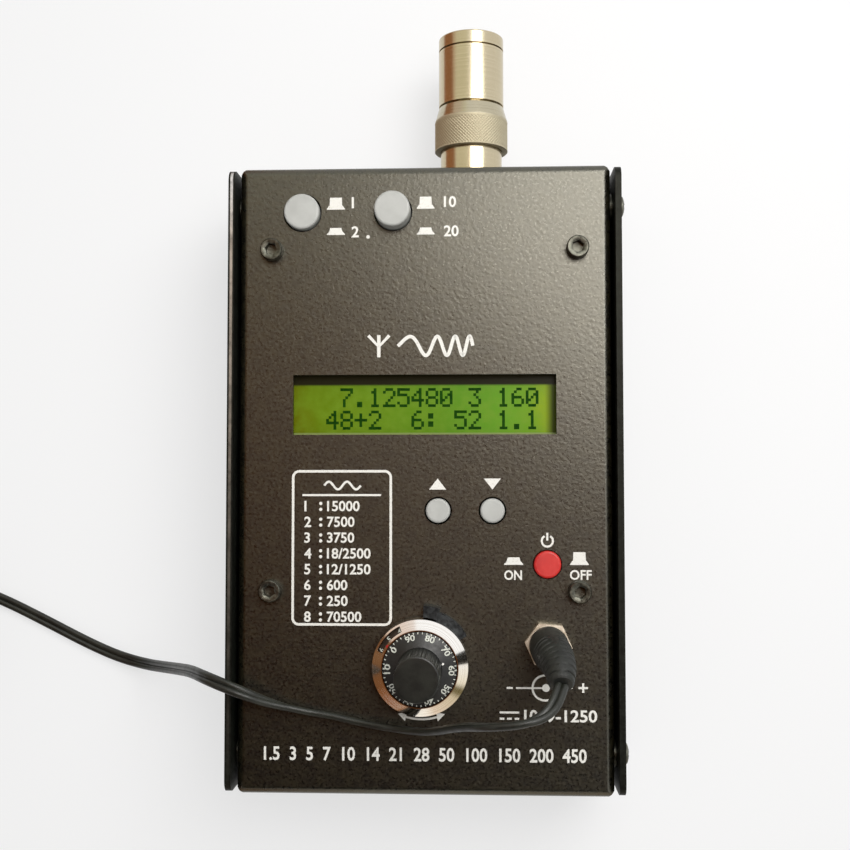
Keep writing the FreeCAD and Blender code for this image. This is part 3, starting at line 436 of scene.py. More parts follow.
knob_plastic = wear(plastic("knob_plastic", (22, 24, 21), (36, 38, 33), 300.0, (0.32, 0.36),
                            3000.0, 0.00004), "tuning_knob")
wear(plastic("skirt_plastic", (16, 16, 14), (30, 30, 27), 300.0, (0.35, 0.5)), "dial_skirt")
wear(plastic("counter_plastic", (34, 24, 17), (52, 40, 29), 300.0, (0.4, 0.5)), "counter_ring")
wear(plastic("grey_button_cap", (180, 181, 176), (192, 193, 188), 240.0, (0.42, 0.55)),
     "left_band_button", "right_band_button", "up_button", "down_button")
wear(plastic("red_button_cap", (198, 36, 34), (216, 48, 42), 240.0, (0.3, 0.42)), "power_button")
wear(plastic("switch_body", (24, 24, 26), (40, 40, 42), 300.0, (0.4, 0.6)), "left_band_switch",
     "right_band_switch", "power_switch", "up_switch", "down_switch", "dc_jack")
wear(plastic("white_plunger", (214, 212, 204), (230, 228, 222), 200.0, (0.35, 0.5)),
     "left_band_plunger", "right_band_plunger", "power_plunger")
wear(plastic("chip_body", (26, 26, 28), (44, 44, 46), 500.0, (0.5, 0.7)),
     "microcontroller", "regulator", "lcd_header")
wear(metal("black_bezel", (16, 16, 16), (40, 40, 38), (0.35, 0.5)), "lcd_bezel")
wear(plastic("light_guide", (190, 205, 120), (214, 226, 150), 90.0, (0.3, 0.4)), "lcd_backlight")
wear(metal("enamelled_wire", (140, 52, 26), (190, 84, 44), (0.25, 0.35), scale=2400.0),
     "band_coils")
wear(plastic("wire_sleeving", (150, 26, 22), (176, 40, 34), 300.0, (0.35, 0.5)), "internal_wires")
wear(plastic("insulator", (222, 222, 216), (238, 238, 234), 120.0, (0.4, 0.5)),
     "rf_insulator", "load_resistor")
moulding_black = wear(plastic("moulded_plug", (20, 22, 19), (31, 34, 29), 260.0, (0.5, 0.64),
                              3200.0, 0.00004), "dc_plug", "far_plug")
cord_sheath = wear(plastic("cord_sheath", (24, 26, 21), (38, 41, 34), 220.0, (0.34, 0.48),
                           1600.0), "cord", "cord_coil")
wear(circuit_board("green_board", (18, 72, 38), (60, 120, 60)), "main_board", "lcd_board")
wear(liquid_crystal("lit_display", (0.0, 17.9 * MM, 0.0), 32.4 * MM), "lcd_glass")
white_ink = printed("white_ink", (242, 240, 232), (206, 200, 188))
dial_ink = printed("dial_ink", (214, 216, 204), (160, 160, 146))
red_ink = printed("red_ink", (186, 26, 36), (140, 20, 26))
dark_dot = Finish("display_character", Roughness=0.5, Specular_IOR_Level=0.04)
dark_dot.colour(dark_dot.tones(dark_dot.noise(1200.0), (0.3, (16, 58, 2)), (0.7, (32, 76, 4))))


# The lead ----------------

# The route's points, from the plug over the panel and the left wall to the table
lead_route = [
    (.0314, -.0456, .0690), (.0302, -.0488, .0723), (.0270, -.0516, .0748), (.0224, -.0529, .0762),
    (.0158, -.0538, .0744), (.0094, -.0555, .0656), (.0018, -.0592, .0546), (-.0059, -.0601, .0472),
    (-.0140, -.0595, .0445), (-.0223, -.0577, .0439), (-.0286, -.0568, .0439),
    (-.0365, -.0546, .0461), (-.0441, -.0508, .0504), (-.0523, -.0482, .0478),
    (-.0583, -.0482, .0378), (-.0642, -.0496, .0261), (-.0707, -.0509, .0151),
    (-.0784, -.0516, .0062), (-.0877, -.0501, .0020), (-.0968, -.0463, .0016),
    (-.1085, -.0404, .0016), (-.1205, -.0346, .0016), (-.1322, -.0302, .0016)]
coil_middle = np.array([-.14933, -.04427])
lobe_r, lobe_offset = 0.85 * MM, 0.75 * MM


def coil_turns():
    """The put-away turns: an angle that runs on round the coil, 16 points to a turn, with a lane
    radius and a height that change smoothly between lanes. Each change comes a little before the
    same place of the turn under it."""
    start, end = math.radians(69.4), math.radians(180 + 7 * 360)
    step = 2 * np.pi / 16
    angle = np.append(np.arange(start, end - 0.3 * step, step), end)
    turn = (angle - start) / (2 * np.pi)
    outer, inner, length = 19.2 * MM, 16.0 * MM, 1 / 6
    # (turn where a change ends, lane radius after it, height after it in millimetres)
    changes = [(1.0, inner, 1.6), (2 - 1 / 6, inner, 4.8), (3 - 1 / 6, inner, 8.0),
               (4 - 1 / 6, inner, 11.2), (5 - 1 / 3, outer, 11.2), (6 - 1 / 2, outer, 8.0),
               (7 - 1 / 2, outer, 4.8)]
    radius, height = np.full_like(angle, outer), np.full_like(angle, 1.6 * MM)
    lane, level = outer, 1.6
    for done, next_lane, next_level in changes:
        share = np.clip((turn - done + length) / length, 0, 1)
        share = share * share * (3 - 2 * share)
        radius += share * (next_lane - lane)
        height += share * (next_level - level) * MM
        lane, level = next_lane, next_level
    curve_share = 0.9809    # of the corners' radius, which the smooth curve between them keeps
    return polar(radius / curve_share, angle, height, coil_middle)


def lead_line():
    """The lead's one smooth line: a NURBS curve through the route, the coil and the far plug."""
    last = [(-.16853, -.0500, .0047), (-.16853, -.0576, .0047)]
    points = np.concatenate([lead_route, coil_turns(), last])
    curve = bpy.data.curves.new("lead_line", "CURVE")
    curve.dimensions = "3D"
    spline = curve.splines.new("NURBS")
    spline.points.add(len(points) - 1)
    spline.points.foreach_set("co", np.hstack([points, np.ones((len(points), 1))]).ravel())
    spline.order_u, spline.resolution_u, spline.use_endpoint_u = 3, 10, True
    line = put("lead_line", curve)
    mesh = bpy.data.meshes.new_from_object(line)
    path = np.zeros(len(mesh.vertices) * 3)
    mesh.vertices.foreach_get("co", path)
    bpy.data.objects.remove(line)
    bpy.data.meshes.remove(mesh)
    return path.reshape(-1, 3)


def twin_section(columns):
    """Two round cores side by side: for each half, a circle set off from the middle, from the
    groove on one face to the groove on the other."""
    groove = math.pi - math.acos(lobe_offset / lobe_r)
    angle = np.linspace(-groove, groove, columns)[:-1]
    right = np.stack([lobe_offset + lobe_r * np.cos(angle), lobe_r * np.sin(angle)], 1)
    return np.concatenate([right, -right])


def lead():
    """The twin lead: its section carried along the line, level where it lies flat and turned on
    edge where it crosses the panel and in the coil."""
    path = lead_line()
    path = path[np.append(True, np.linalg.norm(np.diff(path, axis=0), axis=1) > 1e-7)]
    ahead = unit(np.gradient(path, axis=0))
    level = unit(np.cross((0.0, 0.0, 1.0), ahead))
    upright = np.cross(ahead, level)
    along = travelled(path)
    stations = [0.0, .004, .013, .084, .104, .165, .205, .224, along[-1]]
    tilts = [8, 14, 98, 102, 10, 0, 0, 90, 90]
    turn = np.radians(np.interp(along, stations, tilts))[:, None]
    wide = np.cos(turn) * level + np.sin(turn) * upright
    thin = np.cross(ahead, wide)
    section = twin_section(11)
    rings = (path[:, None] + section[None, :, :1] * wide[:, None]
             + section[None, :, 1:] * thin[:, None])
    piece = skin("twin_lead", [capped(path, rings)], cord_sheath, "case")
    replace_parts(piece, "cord", "cord_coil")
    return piece, path, along[-1]


def plug_path(points, count):
    """A smooth line through points: a cubic on each run whose ends head along their neighbours'
    chord, evaluated at even steps."""
    points = np.array(points, float)
    slope = np.gradient(points, axis=0)
    share = np.linspace(0, len(points) - 1, count)
    index = np.minimum(share.astype(int), len(points) - 2)
    t = (share - index)[:, None]
    a, b, da, db = points[index], points[index + 1], slope[index], slope[index + 1]
    return ((2 * t ** 3 - 3 * t ** 2 + 1) * a + (t ** 3 - 2 * t ** 2 + t) * da
            + (3 * t ** 2 - 2 * t ** 3) * b + (t ** 3 - t ** 2) * db)


def moulding(points, count=150, columns=40):
    """A moulded plug: a round section carried along its line. The radius is even, then falls with
    the square of the distance towards the lead, with slots across that part on two sides."""
    path = plug_path(points, count)
    length = np.linalg.norm(np.diff(path, axis=0), axis=1).sum()
    taper, first_slot, pitch = 11.0, 14.0, 1.5

    def radius(along, angle):
        share = np.clip((along - taper) / (length - taper), 0, 1)
        body = np.interp(along, [0, 0.35, 3.3, taper], [4.35, 4.7, 4.7, 4.55]) - 1.8 * share ** 2
        body -= 0.3 * np.clip(1 - (length - along) / 0.5, 0, 1)
        slots = 0.5 + 0.5 * np.cos(2 * np.pi * (along - first_slot) / pitch)
        slots = np.clip((slots - 0.72) / 0.18, 0, 1) * (along > 13.6) * (along < length - 1.4)
        sides = np.clip((np.abs(np.sin(angle)) - 0.15) / 0.2, 0, 1)
        return body - 0.3 * slots * sides

    return swept(path, polar(1.0, round_about(columns), 0.0)[:, :2], radius) * MM


def plugs():
    """The fitted plug stands in the inlet and bends over. The loose one lies by the coil."""
    fitted = [(30.1, -40.5, 44.3), (30.1, -40.5, 49.8), (30.1, -40.5, 55.3), (30.5, -40.8, 60.2),
              (31.3, -42.7, 65.2), (31.4, -45.6, 69.0)]
    loose = [(-168.53, y, 4.7) for y in (-78.97, -73.5, -68.0, -62.5, -57.0)]
    made = []
    for name, node, points in (("fitted_plug", "dc_plug", fitted),
                               ("loose_plug", "far_plug", loose)):
        piece = skin(name, [moulding(points)], moulding_black, "case")
        made.append(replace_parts(piece, node))
    return made


lead_piece, lead_path, lead_length = lead()
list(plugs())


# Print ----------------

def band(line, width, closed=False):
    """A flat band of even width along a line of (x, y) points: each point is set off to both sides
    along the line's normal."""
    line = np.array(line, float)
    if closed:
        step = np.roll(line, -1, 0) - np.roll(line, 1, 0)
    else:
        step = np.gradient(line, axis=0)
    step = unit(step)
    off = np.stack([-step[:, 1], step[:, 0]], 1) * width / 2
    corners = np.concatenate([line + off, line - off])
    count = len(line)
    near = np.arange(count if closed else count - 1)
    far = (near + 1) % count
    faces = np.concatenate([np.stack([near, near + count, far + count], 1),
                            np.stack([near, far + count, far], 1)])
    return corners, faces


def patch(outline):
    """A convex flat shape: triangles from its first corner."""
    outline = np.array(outline, float)
    near = np.arange(1, len(outline) - 1)
    return outline, np.stack([0 * near, near, near + 1], 1)


def arc(x, y, radius, start, end, count=24):
    """Points on an arc, from one angle to another in degrees."""
    return polar(radius, np.radians(np.linspace(start, end, count)), 0.0, (x, y))[:, :2]


def dot(x, y, radius):
    return patch(arc(x, y, radius, 0, 345))


def lettering(text):
    """A word's outline from the built-in face, thickened a little, as flat triangles."""
    weight = 0.022
    curve = bpy.data.curves.new("lettering", "FONT")
    curve.body, curve.offset, curve.resolution_u = text, weight, 3
    holder = put("lettering", curve)
    mesh = bpy.data.meshes.new_from_object(holder.evaluated_get(
        bpy.context.evaluated_depsgraph_get()))
    mesh.calc_loop_triangles()
    corners = np.zeros(len(mesh.vertices) * 3)
    faces = np.zeros(len(mesh.loop_triangles) * 3, int)
    mesh.vertices.foreach_get("co", corners)
    mesh.loop_triangles.foreach_get("vertices", faces)
    bpy.data.objects.remove(holder)
    bpy.data.meshes.remove(mesh)
    return corners.reshape(-1, 3)[:, :2], faces.reshape(-1, 3)


def number(text, left, bottom, high):
    """A number that starts at left and stands on bottom, with its face's own proportions."""
    corners, faces = lettering(text)
    rise = corners[:, 1].max() - corners[:, 1].min()
    return (corners - corners.min(0)) * (high / rise) + (left, bottom), faces


def fitted(shape, left, right, bottom, top):
    """A flat shape scaled and moved to fill a box."""
    corners, faces = shape
    low, high = corners.min(0), corners.max(0)
    return (corners - low) / (high - low) * (right - left, top - bottom) + (left, bottom), faces


def ink(name, shapes, place, finish, body):
    """Flat shapes put on a surface: place turns their (x, y) into points there. The faces all look
    up, whichever way each shape ran, and shapes that cross lie a few microns apart."""
    layer = 0.004
    corners, faces, start = [], [], 0
    for i, (flat, triangles) in enumerate(shapes):
        a, b, c = (flat[triangles[:, i]] for i in range(3))
        turn = (b[:, 0] - a[:, 0]) * (c[:, 1] - a[:, 1]) - (b[:, 1] - a[:, 1]) * (c[:, 0] - a[:, 0])
        triangles = np.where(turn[:, None] < 0, triangles[:, ::-1], triangles)
        corners.append(place(flat) + (0, 0, layer * (i % 4)))
        faces.append(triangles[np.abs(turn) > 1e-9] + start)
        start += len(flat)
    mesh = bpy.data.meshes.new(name)
    mesh.from_pydata((np.concatenate(corners) * MM).tolist(), [], np.concatenate(faces).tolist())
    return link(name, mesh, finish, body)


def on_level(height):
    """Places (x, y) flat at a height."""
    return lambda flat: np.hstack([flat, np.full((len(flat), 1), height)])


def raised_icon(left, right, bottom, top):
    """A button standing out: a cap on a wider foot."""
    inset = 0.15 * (right - left)
    foot = bottom + 0.33 * (top - bottom)
    return [patch([(left, bottom), (right, bottom), (right, bottom + 0.2),
                   (right - 0.8 * inset, foot), (left + 0.8 * inset, foot), (left, bottom + 0.2)]),
            patch([(left + inset, foot - 0.02), (right - inset, foot - 0.02),
                   (right - 1.15 * inset, top), (left + 1.15 * inset, top)])]


def pressed_icon(left, right, bottom, top):
    """A button pushed in: one low cap."""
    inset, foot = 0.19 * (right - left), bottom + 0.5 * (top - bottom)
    return [patch([(left, bottom), (right, bottom), (right, bottom + 0.25),
                   (right - 0.7 * inset, foot), (right - inset, top), (left + inset, top),
                   (left + 0.7 * inset, foot), (left, bottom + 0.25)])]


def rounded_frame(left, right, bottom, top, corner, width):
    """A frame line: four corner arcs joined by straight sides."""
    sides = ((right - corner, top - corner, 90), (right - corner, bottom + corner, 0),
             (left + corner, bottom + corner, -90), (left + corner, top - corner, 180))
    corners = [arc(x, y, corner, start, start - 90, 8) for x, y, start in sides]
    return band(np.concatenate(corners), width, closed=True)


def panel_print():
    """Everything printed on the panel, in millimetres from its middle."""
    shapes = []
    # Band buttons: released and pressed signs, with plain numbers
    for left, right, tops, label in ((-24.2, -19.7, (69.5, 61.9), ("1", "2")),
                                     (-1.8, 2.6, (69.5, 61.8), ("10", "20"))):
        shapes += raised_icon(left, right, tops[0] - 3.0, tops[0])
        shapes += pressed_icon(left, right, tops[1] - 1.75, tops[1])
        for text, top in zip(label, (69.6, 62.3)):
            start = right + (1.7 if len(text) == 1 else 2.3)
            shapes.append(number(text, start, top - 2.8, 2.8))
    shapes.append(dot(-13.9, 59.6, 0.45))
    # Over the display: an aerial and a swept wave
    x = np.linspace(0, 1, 700)
    swing = np.sin(2 * np.pi * (1.1 * x + 2.4 * x ** 2))
    shapes += [band(np.stack([-6.5 + 18.5 * x, 32.35 + 2.35 * swing], 1), 0.85),
               band([(-11.2, 29.6), (-11.2, 35.1)], 0.85),
               band([(-13.8, 35.0), (-11.2, 32.2), (-8.6, 35.0)], 0.8)]
    # Band table
    shapes.append(rounded_frame(-32.3, -8.2, -35.95, 1.5, 1.5, 0.62))
    x = np.linspace(0, 1, 40)
    shapes.append(band(np.stack([-24.6 + 9.0 * x, -2.0 + 0.95 * np.sin(4 * np.pi * x)], 1), 0.55))
    shapes.append(band([(-30.0, -4.35), (-10.6, -4.35)], 0.5))
    rows = ["15000", "7500", "3750", "18/2500", "12/1250", "600", "250", "70500"]
    for i, row in enumerate(rows):
        foot = -8.35 - 3.86 * i
        shapes += [number(str(i + 1), -29.5, foot, 2.6), number(row, -23.9, foot, 2.6),
                   dot(-25.45, foot + 0.5, 0.4), dot(-25.45, foot + 1.95, 0.4)]
    # Step buttons, up and down
    shapes += [patch([(1.2, -3.0), (5.4, -3.0), (3.3, -0.3)]),
               patch([(14.6, -0.3), (18.8, -0.3), (16.7, -3.0)])]
    # Power button
    shapes += [band(arc(30.0, -15.5, 1.35, 120, 420, 40), 0.5),
               band([(30.0, -15.4), (30.0, -13.5)], 0.5)]
    shapes += pressed_icon(19.5, 24.1, -21.3, -19.5)
    shapes += raised_icon(35.5, 40.0, -21.3, -18.2)
    shapes.append(fitted(lettering("ON"), 19.5, 23.8, -25.0, -22.6))
    shapes.append(fitted(lettering("OFF"), 35.4, 40.7, -24.9, -22.5))
    # Tuning: an arrow each way
    shapes += [band(arc(*DIAL, 13.4, 253, 287, 30), 0.5),
               patch([(-6.4, -57.4), (-4.2, -57.0), (-4.7, -59.2)]),
               patch([(5.0, -57.4), (2.8, -57.0), (3.3, -59.2)])]
    # Power inlet: polarity sign, and a direct current sign with plain numbers
    shapes += [band([(20.0, -51.0), (21.5, -51.0)], 0.5),
               band([(22.25, -51.0), (29.2, -51.0)], 0.45),
               band(arc(29.25, -50.96, 3.0, 38, 322, 40), 0.5), dot(29.5, -50.96, 0.95),
               band([(33.0, -50.9), (35.9, -50.9)], 0.45),
               band([(37.3, -50.9), (39.6, -50.9)], 0.5),
               band([(38.45, -49.75), (38.45, -52.05)], 0.5)]
    shapes.append(band([(18.3, -56.9), (23.0, -56.9)], 0.5))
    shapes += [band([(x, -58.4), (x + 1.1, -58.4)], 0.5) for x in (18.3, 20.1, 21.9)]
    shapes.append(number("10", 24.2, -59.2, 3.0))
    shapes.append(fitted(lettering("9-1250"), 29.6, 41.8, -59.2, -56.2))
    # Foot of the panel: a plain row of numbers
    row = "1.5  3  5  7  10  14  21  28  50  100  150  200  450"
    shapes.append(fitted(lettering(row), -39.2, 39.2, -68.9, -65.5))
    ink("panel_print", shapes, on_level(PANEL_TOP + 0.03), white_ink, "case")


# A 5 by 7 dot pattern for each sign of the display
dots = {
    "0": "01110 10001 10011 10101 11001 10001 01110",
    "1": "00100 01100 00100 00100 00100 00100 01110",
    "2": "01110 10001 00001 00010 00100 01000 11111",
    "3": "11111 00010 00100 00010 00001 10001 01110",
    "4": "00010 00110 01010 10010 11111 00010 00010",
    "5": "11111 10000 11110 00001 00001 10001 01110",
    "6": "00110 01000 10000 11110 10001 10001 01110",
    "7": "11111 00001 00010 00100 01000 01000 01000",
    "8": "01110 10001 10001 01110 10001 10001 01110",
    ".": "00000 00000 00000 00000 00000 01100 01100",
    "+": "00000 00100 00100 11111 00100 00100 00000",
    ":": "00000 01100 01100 00000 01100 01100 00000",
    " ": "00000 00000 00000 00000 00000 00000 00000",
}


def display_characters():
    """The display's two rows: a small square for every dark dot of each sign."""
    rows = ["  7.125480 3 160", " 48+2  6: 52 1.1"]
    left, top, pitch, row_pitch = -28.2, 22.22, 3.55, 5.6
    step_x, step_y, wide, high = 0.615, 0.675, 0.70, 0.69
    corners = []
    for row, text in enumerate(rows):
        for column, sign in enumerate(text):
            grid = np.array([list(line) for line in dots[sign].split()])
            down, across = np.nonzero(grid == "1")
            corners.append(np.stack([left + pitch * column + step_x * across,
                                     top - row_pitch * row - step_y * down], 1))
    corner = np.concatenate(corners)
    flat = (corner[:, None] + [(0, 0), (wide, 0), (wide, -high), (0, -high)]).reshape(-1, 2)
    first = 4 * np.arange(len(corner))[:, None]
    faces = np.concatenate([first + [0, 1, 2], first + [0, 2, 3]])
    ink("display_characters", [(flat, faces)], on_level(GLASS_TOP + 0.02), dark_dot.material,
        "case")


def on_cone(low_r, low_z, high_r, high_z, lift=0.04):
    """Places (angle in degrees, radius) on a cone about the dial's axis, a hair above it."""
    def place(flat):
        angle, radius = np.radians(flat[:, 0]), flat[:, 1]
        height = low_z + (radius - low_r) * (high_z - low_z) / (high_r - low_r) + lift
        return polar(radius, angle, height, DIAL)
    return place


def round_number(text, angle, middle_r, high, wide):
    """A number whose top points outward, as (angle, radius): it reads clockwise round the dial."""
    corners, faces = fitted(lettering(text), -wide / 2, wide / 2, -high / 2, high / 2)
    turn = np.degrees(corners[:, 0] / middle_r)
    return np.stack([angle - turn, middle_r + corners[:, 1]], 1), faces


def dial_print():
    """The turning scale, its numbers and ticks, and the turn numbers behind the ring's window."""
    # Cones as (inner radius, its height, outer radius, its height), and directions in degrees
    skirt, counter = (5.35, 52.3, 8.75, 50.9), (9.2, 50.038, 10.75, 48.591)
    ring = (9.2, 51.0, 11.45, 48.9)
    zero, middle_turn, mark = 143, 137, 145
    shapes = [round_number(str(10 * i), zero + 36 * i, 7.6, 1.4, 2.3 if i else 1.2)
              for i in range(10)]
    for i in range(50):
        angle = zero + 7.2 * i
        shapes.append(band([(angle, 8.28), (angle, 8.73)], 1.5 if i % 5 else 2.4))
    ink("dial_scale", shapes, on_cone(*skirt), dial_ink, "tuning")
    angle, radius = 15.0, 5.75
    corners, faces = dot(0.0, 0.0, 0.28)
    corners = np.stack([angle + np.degrees(corners[:, 0] / radius), radius + corners[:, 1]], 1)
    ink("knob_dot", [(corners, faces)], on_cone(*skirt, 0.06), white_ink, "tuning")
    shapes = [round_number(str(i), middle_turn + 18 * (i - 5), 10.05, 1.15, 0.75 if i < 10 else 1.5)
              for i in range(11)]
    ink("turn_numbers", shapes, on_cone(*counter), dial_ink, "counter")
    arrow = patch([(mark - 3, 9.22), (mark + 3, 9.22), (mark + 1, 9.62), (mark - 1, 9.62)])
    ink("index_mark", [arrow], on_cone(*ring), red_ink, "case")


panel_print()
display_characters()
dial_print()


# Screws, knob and connector ----------------

def socket_head(columns=96):
    """A cap screw's head: a knurled rim, a rounded top edge, a dished chamfer and a hexagon socket
    whose radius follows the hexagon's sides."""
    rim = [(2.68, 0.0), (2.75, 0.15), (2.75, 0.6), (2.75, 2.2), (2.73, 2.6), (2.62, 2.88),
           (2.45, 3.0)]
    angle = round_about(columns)
    outside = turned(finely(rim, 0.4), columns,
                     lambda a, r, z: 0.09 * (0.5 + 0.5 * np.cos(32 * a)) * (z > 0.3) * (z < 2.4))
    flats = 2.66
    hexagon = flats / 2 / np.cos(np.mod(angle + math.pi / 6, math.pi / 3) - math.pi / 6)
    inside = np.stack([polar(reach, angle, level) for reach, level in
                       ((1.78, 3.0), (hexagon, 2.8), (hexagon * 0.985, 0.5), (0.0, 0.35))])
    return np.concatenate([np.zeros((1, columns, 3)), outside, inside])


def cross_head(radius, height, columns=72):
    """A pan head: a dome whose height falls with the square of the radius, with a cross recess
    pressed into it, deepest in the middle."""
    share = np.concatenate([np.linspace(1, 0.62, 5), np.linspace(0.6, 0, 16)])[:, None]
    angle = round_about(columns)
    r = radius * share + 0 * angle
    dome = height * (1 - 0.35 * share ** 2) * (1 - 0.85 * np.clip(share - 0.9, 0, 1) * 8)
    x, y = r * np.cos(angle), r * np.sin(angle)
    reach, half_width, depth = 0.62 * radius, 0.14 * radius, 0.55 * height
    slot = (np.minimum(np.abs(x), np.abs(y)) < half_width) & (r < reach)
    cut = np.where(slot, depth * (1 - 0.6 * r / radius), 0.0)
    top = np.stack([x, y, dome - cut], -1)
    return np.concatenate([np.zeros((1, columns, 3)), polar(radius, angle, 0.0)[None], top])


def screws():
    """The panel's socket screws, and the cross-headed ones of the side walls and the RF end."""
    grids = []
    for x, y, turn in ((-37.7, 56.3, 0.35), (-37.7, -27.7, 1.2), (37.7, 56.3, 0.9),
                       (37.7, -27.7, 0.1)):
        spin = np.array(Matrix.Rotation(turn, 3, "Z"))
        grids.append(stand(socket_head() @ spin.T, (x, y, PANEL_TOP)))
    piece = skin("panel_screws", grids, screw_black, "case")
    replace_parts(piece, "front_screws")
    grids = [stand(cross_head(2.8, 1.9), (side * 48.33, y, 34.5), (side, 0, 0))
             for side in (-1, 1) for y in (-68.1, 68.1)]
    piece = skin("wall_screws", grids, screw_black, "case")
    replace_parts(piece, "side_screws")
    x, y, z = SOCKET_FOOT
    grids = [stand(cross_head(2.6, 1.5), (x + 9.1 * i, y, z + 9.1 * j), (0, 1, 0))
             for i in (-1, 1) for j in (-1, 1)]
    piece = skin("socket_screws", grids, screw_black, "case")
    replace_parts(piece, "rf_screws")


def fluted_knob():
    """The knob: a flange under the scale, a slim grip with fine flutes round it, and a flat top.
    The flutes are a rectified cosine of the angle taken off the radius."""
    profile = finely([(0, 49.3), (7.2, 49.3), (7.2, 50.1), (5.3, 50.1), (5.3, 52.6), (5.24, 65.6),
                      (5.18, 65.86), (5.05, 65.97), (4.8, 66.0), (0, 66.0)], 0.8)
    grid = turned(profile, 192, lambda a, r, z: 0.18 * np.abs(np.cos(20 * a)) * (z > 53.2)
                  * (z < 65.7) * (r > 5.0))
    piece = skin("fluted_knob", [stand(grid, (*DIAL, 0))], knob_plastic, "tuning")
    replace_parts(piece, "tuning_knob")


def knurled_nut():
    """The coupling nut: a turned ring whose outside carries a diamond knurl, the product of two
    crossed waves, cut deepest where they meet."""
    rim, ridges, depth = 9.6, 36, 0.2
    knurl = [(9.5, 8.7), (rim, 8.8), (rim, 16.4)]
    smooth = [(9.5, 16.75), (8.92, 18.8), (8.55, 20.1), (6.52, 20.1), (6.52, 18.2), (8.15, 18.2),
              (8.15, 8.7), (9.5, 8.7)]
    profile = np.concatenate([finely(knurl, 0.16), np.array(smooth, float)])

    def diamonds(angle, radius, height):
        lean = height / rim
        waves = np.abs(np.sin(ridges * (angle + lean))) * np.abs(np.sin(ridges * (angle - lean)))
        ends = np.clip((height - 8.8) / 0.3, 0, 1) * np.clip((16.35 - height) / 0.6, 0, 1)
        return depth * (1 - waves) * ends * (radius > 9.55)

    grid = turned(profile, 576, diamonds)
    piece = skin("knurled_nut", [stand(grid, SOCKET_FOOT, (0, 1, 0))], nickel_knurl, "coupling",
                 sharp=50)
    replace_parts(piece, "coupling_nut")


screws()
fluted_knob()
knurled_nut()


# Floor, boards and lamp ----------------

def bare_tree(owner):
    """The node tree of a new material or world, emptied."""
    owner.use_nodes = True
    owner.node_tree.nodes.clear()
    return owner.node_tree


def seen_plainly(tree):
    """1 for the camera, mirrors and glass, and 0 for the light that falls on matt surfaces."""
    path = wire(tree, "LightPath").outputs
    either = wire(tree, "Math", {0: path["Is Glossy Ray"], 1: path["Is Transmission Ray"]},
                  operation="MAXIMUM").outputs[0]
    return wire(tree, "Math", {0: path["Is Camera Ray"], 1: either}, operation="MAXIMUM").outputs[0]


def setting(name, corners, faces, material):
    """A plain mesh for the setting."""
    mesh = bpy.data.meshes.new(name)
    mesh.from_pydata(corners, [], faces)
    mesh.materials.append(material)
    return put(name, mesh)


def floor():
    """A plain matt floor just under the instrument, near white to the camera, mirrors and glass."""
    size, low, grey, glow = 4.0, -0.0001, 0.36, 0.62
    material = bpy.data.materials.new("floor")
    tree = bare_tree(material)
    matt = wire(tree, "BsdfDiffuse", {"Color": (grey, grey, grey, 1)}).outputs[0]
    light = wire(tree, "Emission", {"Color": (1, 1, 1, 1), "Strength": glow}).outputs[0]
    both = wire(tree, "AddShader", {0: matt, 1: light}).outputs[0]
    pick = wire(tree, "MixShader", {0: seen_plainly(tree), 1: matt, 2: both}).outputs[0]
    wire(tree, "OutputMaterial", {"Surface": pick})
    corners = [(-size, -size, low), (size, -size, low), (size, size, low), (-size, size, low)]
    piece = setting("floor", corners, [(0, 1, 2, 3)], material)


def card(name, corners, faces, colour):
    """A toned board outside the picture that only shiny surfaces see. Its colour is a tone, or a
    function that makes a pattern from the material's tree and Object coordinates."""
    material = bpy.data.materials.new(name)
    tree = bare_tree(material)
    if callable(colour):
        colour = colour(tree, wire(tree, "TexCoord").outputs["Object"])
    else:
        colour = srgb(*colour)
    light = wire(tree, "Emission", {"Color": colour}).outputs[0]
    wire(tree, "OutputMaterial", {"Surface": light})
    piece = setting(name, corners, faces, material)
    piece.visible_camera = piece.visible_diffuse = piece.visible_shadow = False
    piece.visible_transmission = False


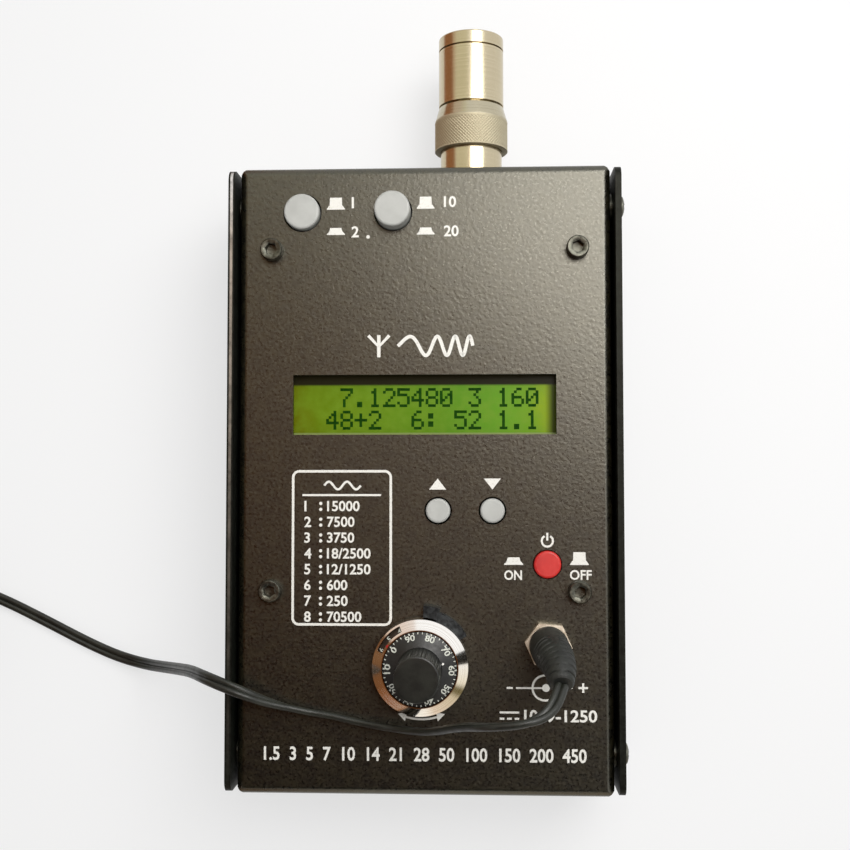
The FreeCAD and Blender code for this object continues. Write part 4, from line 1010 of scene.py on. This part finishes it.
def room():
    """What the bright metal shows: a low toned wall all round, a pale board up on the left, a brown
    one beside the RF end, and a dark one overhead that keeps the panel deep in tone and pales
    towards the lamp."""
    count, reach, foot, top = 96, 0.34, -0.03, 0.2
    angle = round_about(count)
    wall = np.vstack([polar(reach, angle, foot), polar(reach, angle, top)]).tolist()
    near = np.arange(count)
    far = (near + 1) % count
    faces = np.stack([near, far, far + count, near + count], 1).tolist()

    def round_tones(tree, place):
        turn = wire(tree, "TexGradient", {"Vector": place}, gradient_type="RADIAL")
        tan, brown, olive, white = (126, 90, 60), (112, 76, 48), (112, 100, 66), (255, 255, 255)
        stops = [(-180, tan), (-160, brown), (-128, (136, 86, 50)), (-104, (164, 124, 92)),
                 (-97, (255, 250, 240)), (-86, (250, 240, 225)), (-78, (222, 200, 176)),
                 (-54, (206, 190, 160)), (-47, olive), (-42, olive), (-35, (236, 226, 204)),
                 (2, white), (98, white), (104, (232, 220, 212)), (148, (222, 196, 176)),
                 (154, brown), (170, brown), (180, tan)]
        return ramp(tree, turn.outputs["Fac"], [(0.5 + a / 360, tone) for a, tone in stops])

    def overhead(tree, place):
        run = wire(tree, "SeparateXYZ", {"Vector": place}).outputs["Y"]
        share = wire(tree, "MapRange", {"Value": run, "From Min": -0.22, "From Max": 0.2})
        return ramp(tree, share.outputs["Result"], [
            (0.0, (8, 7, 5)), (0.12, (14, 10, 6)), (0.4, (118, 64, 18)), (0.7, (150, 98, 46)),
            (1.0, (176, 138, 94))])

    card("low_wall", wall, faces, round_tones)
    card("left_board", [(-.30, .14, .20), (-.30, .52, .20), (-.06, .52, .43), (-.06, .14, .43)],
         [(0, 1, 2, 3)], (244, 242, 222))
    card("brown_board", [(-.058, .06, .002), (-.058, .16, .002), (-.058, .16, .056),
                         (-.058, .06, .056)], [(0, 1, 2, 3)], (168, 118, 84))
    card("overhead_board", [(-.5, -.6, .45), (.2, -.6, .45), (.2, .2, .45), (-.5, .2, .45)],
         [(0, 1, 2, 3)], overhead)


def key_lamp():
    """A soft oblong lamp, up on the right beyond the RF end."""
    data = bpy.data.lights.new("key", "AREA")
    data.shape, data.energy, data.color = "RECTANGLE", 1.47, (1.0, 0.985, 0.97)
    data.size, data.size_y = 0.24, 0.345
    place, aim = Vector((.122, .152, .40)), Vector((0.0, 0.0, 0.04))
    turn = (aim - place).to_track_quat("-Z", "Y").to_matrix().to_4x4()
    piece = put("key", data)
    piece.matrix_world = Matrix.Translation(place) @ turn
    piece.visible_camera = False


def surroundings():
    """White for the camera, mirrors and glass, and a lower even level for matt surfaces."""
    world = bpy.data.worlds.new("surroundings")
    scene.world = world
    tree = bare_tree(world)
    white, even = (wire(tree, "Background", {"Color": (1, 1, 1, 1), "Strength": level}).outputs[0]
                   for level in (1.0, 0.35))
    pick = wire(tree, "MixShader", {0: seen_plainly(tree), 1: even, 2: white}).outputs[0]
    wire(tree, "OutputWorld", {"Surface": pick})


floor()
surroundings()
room()
key_lamp()
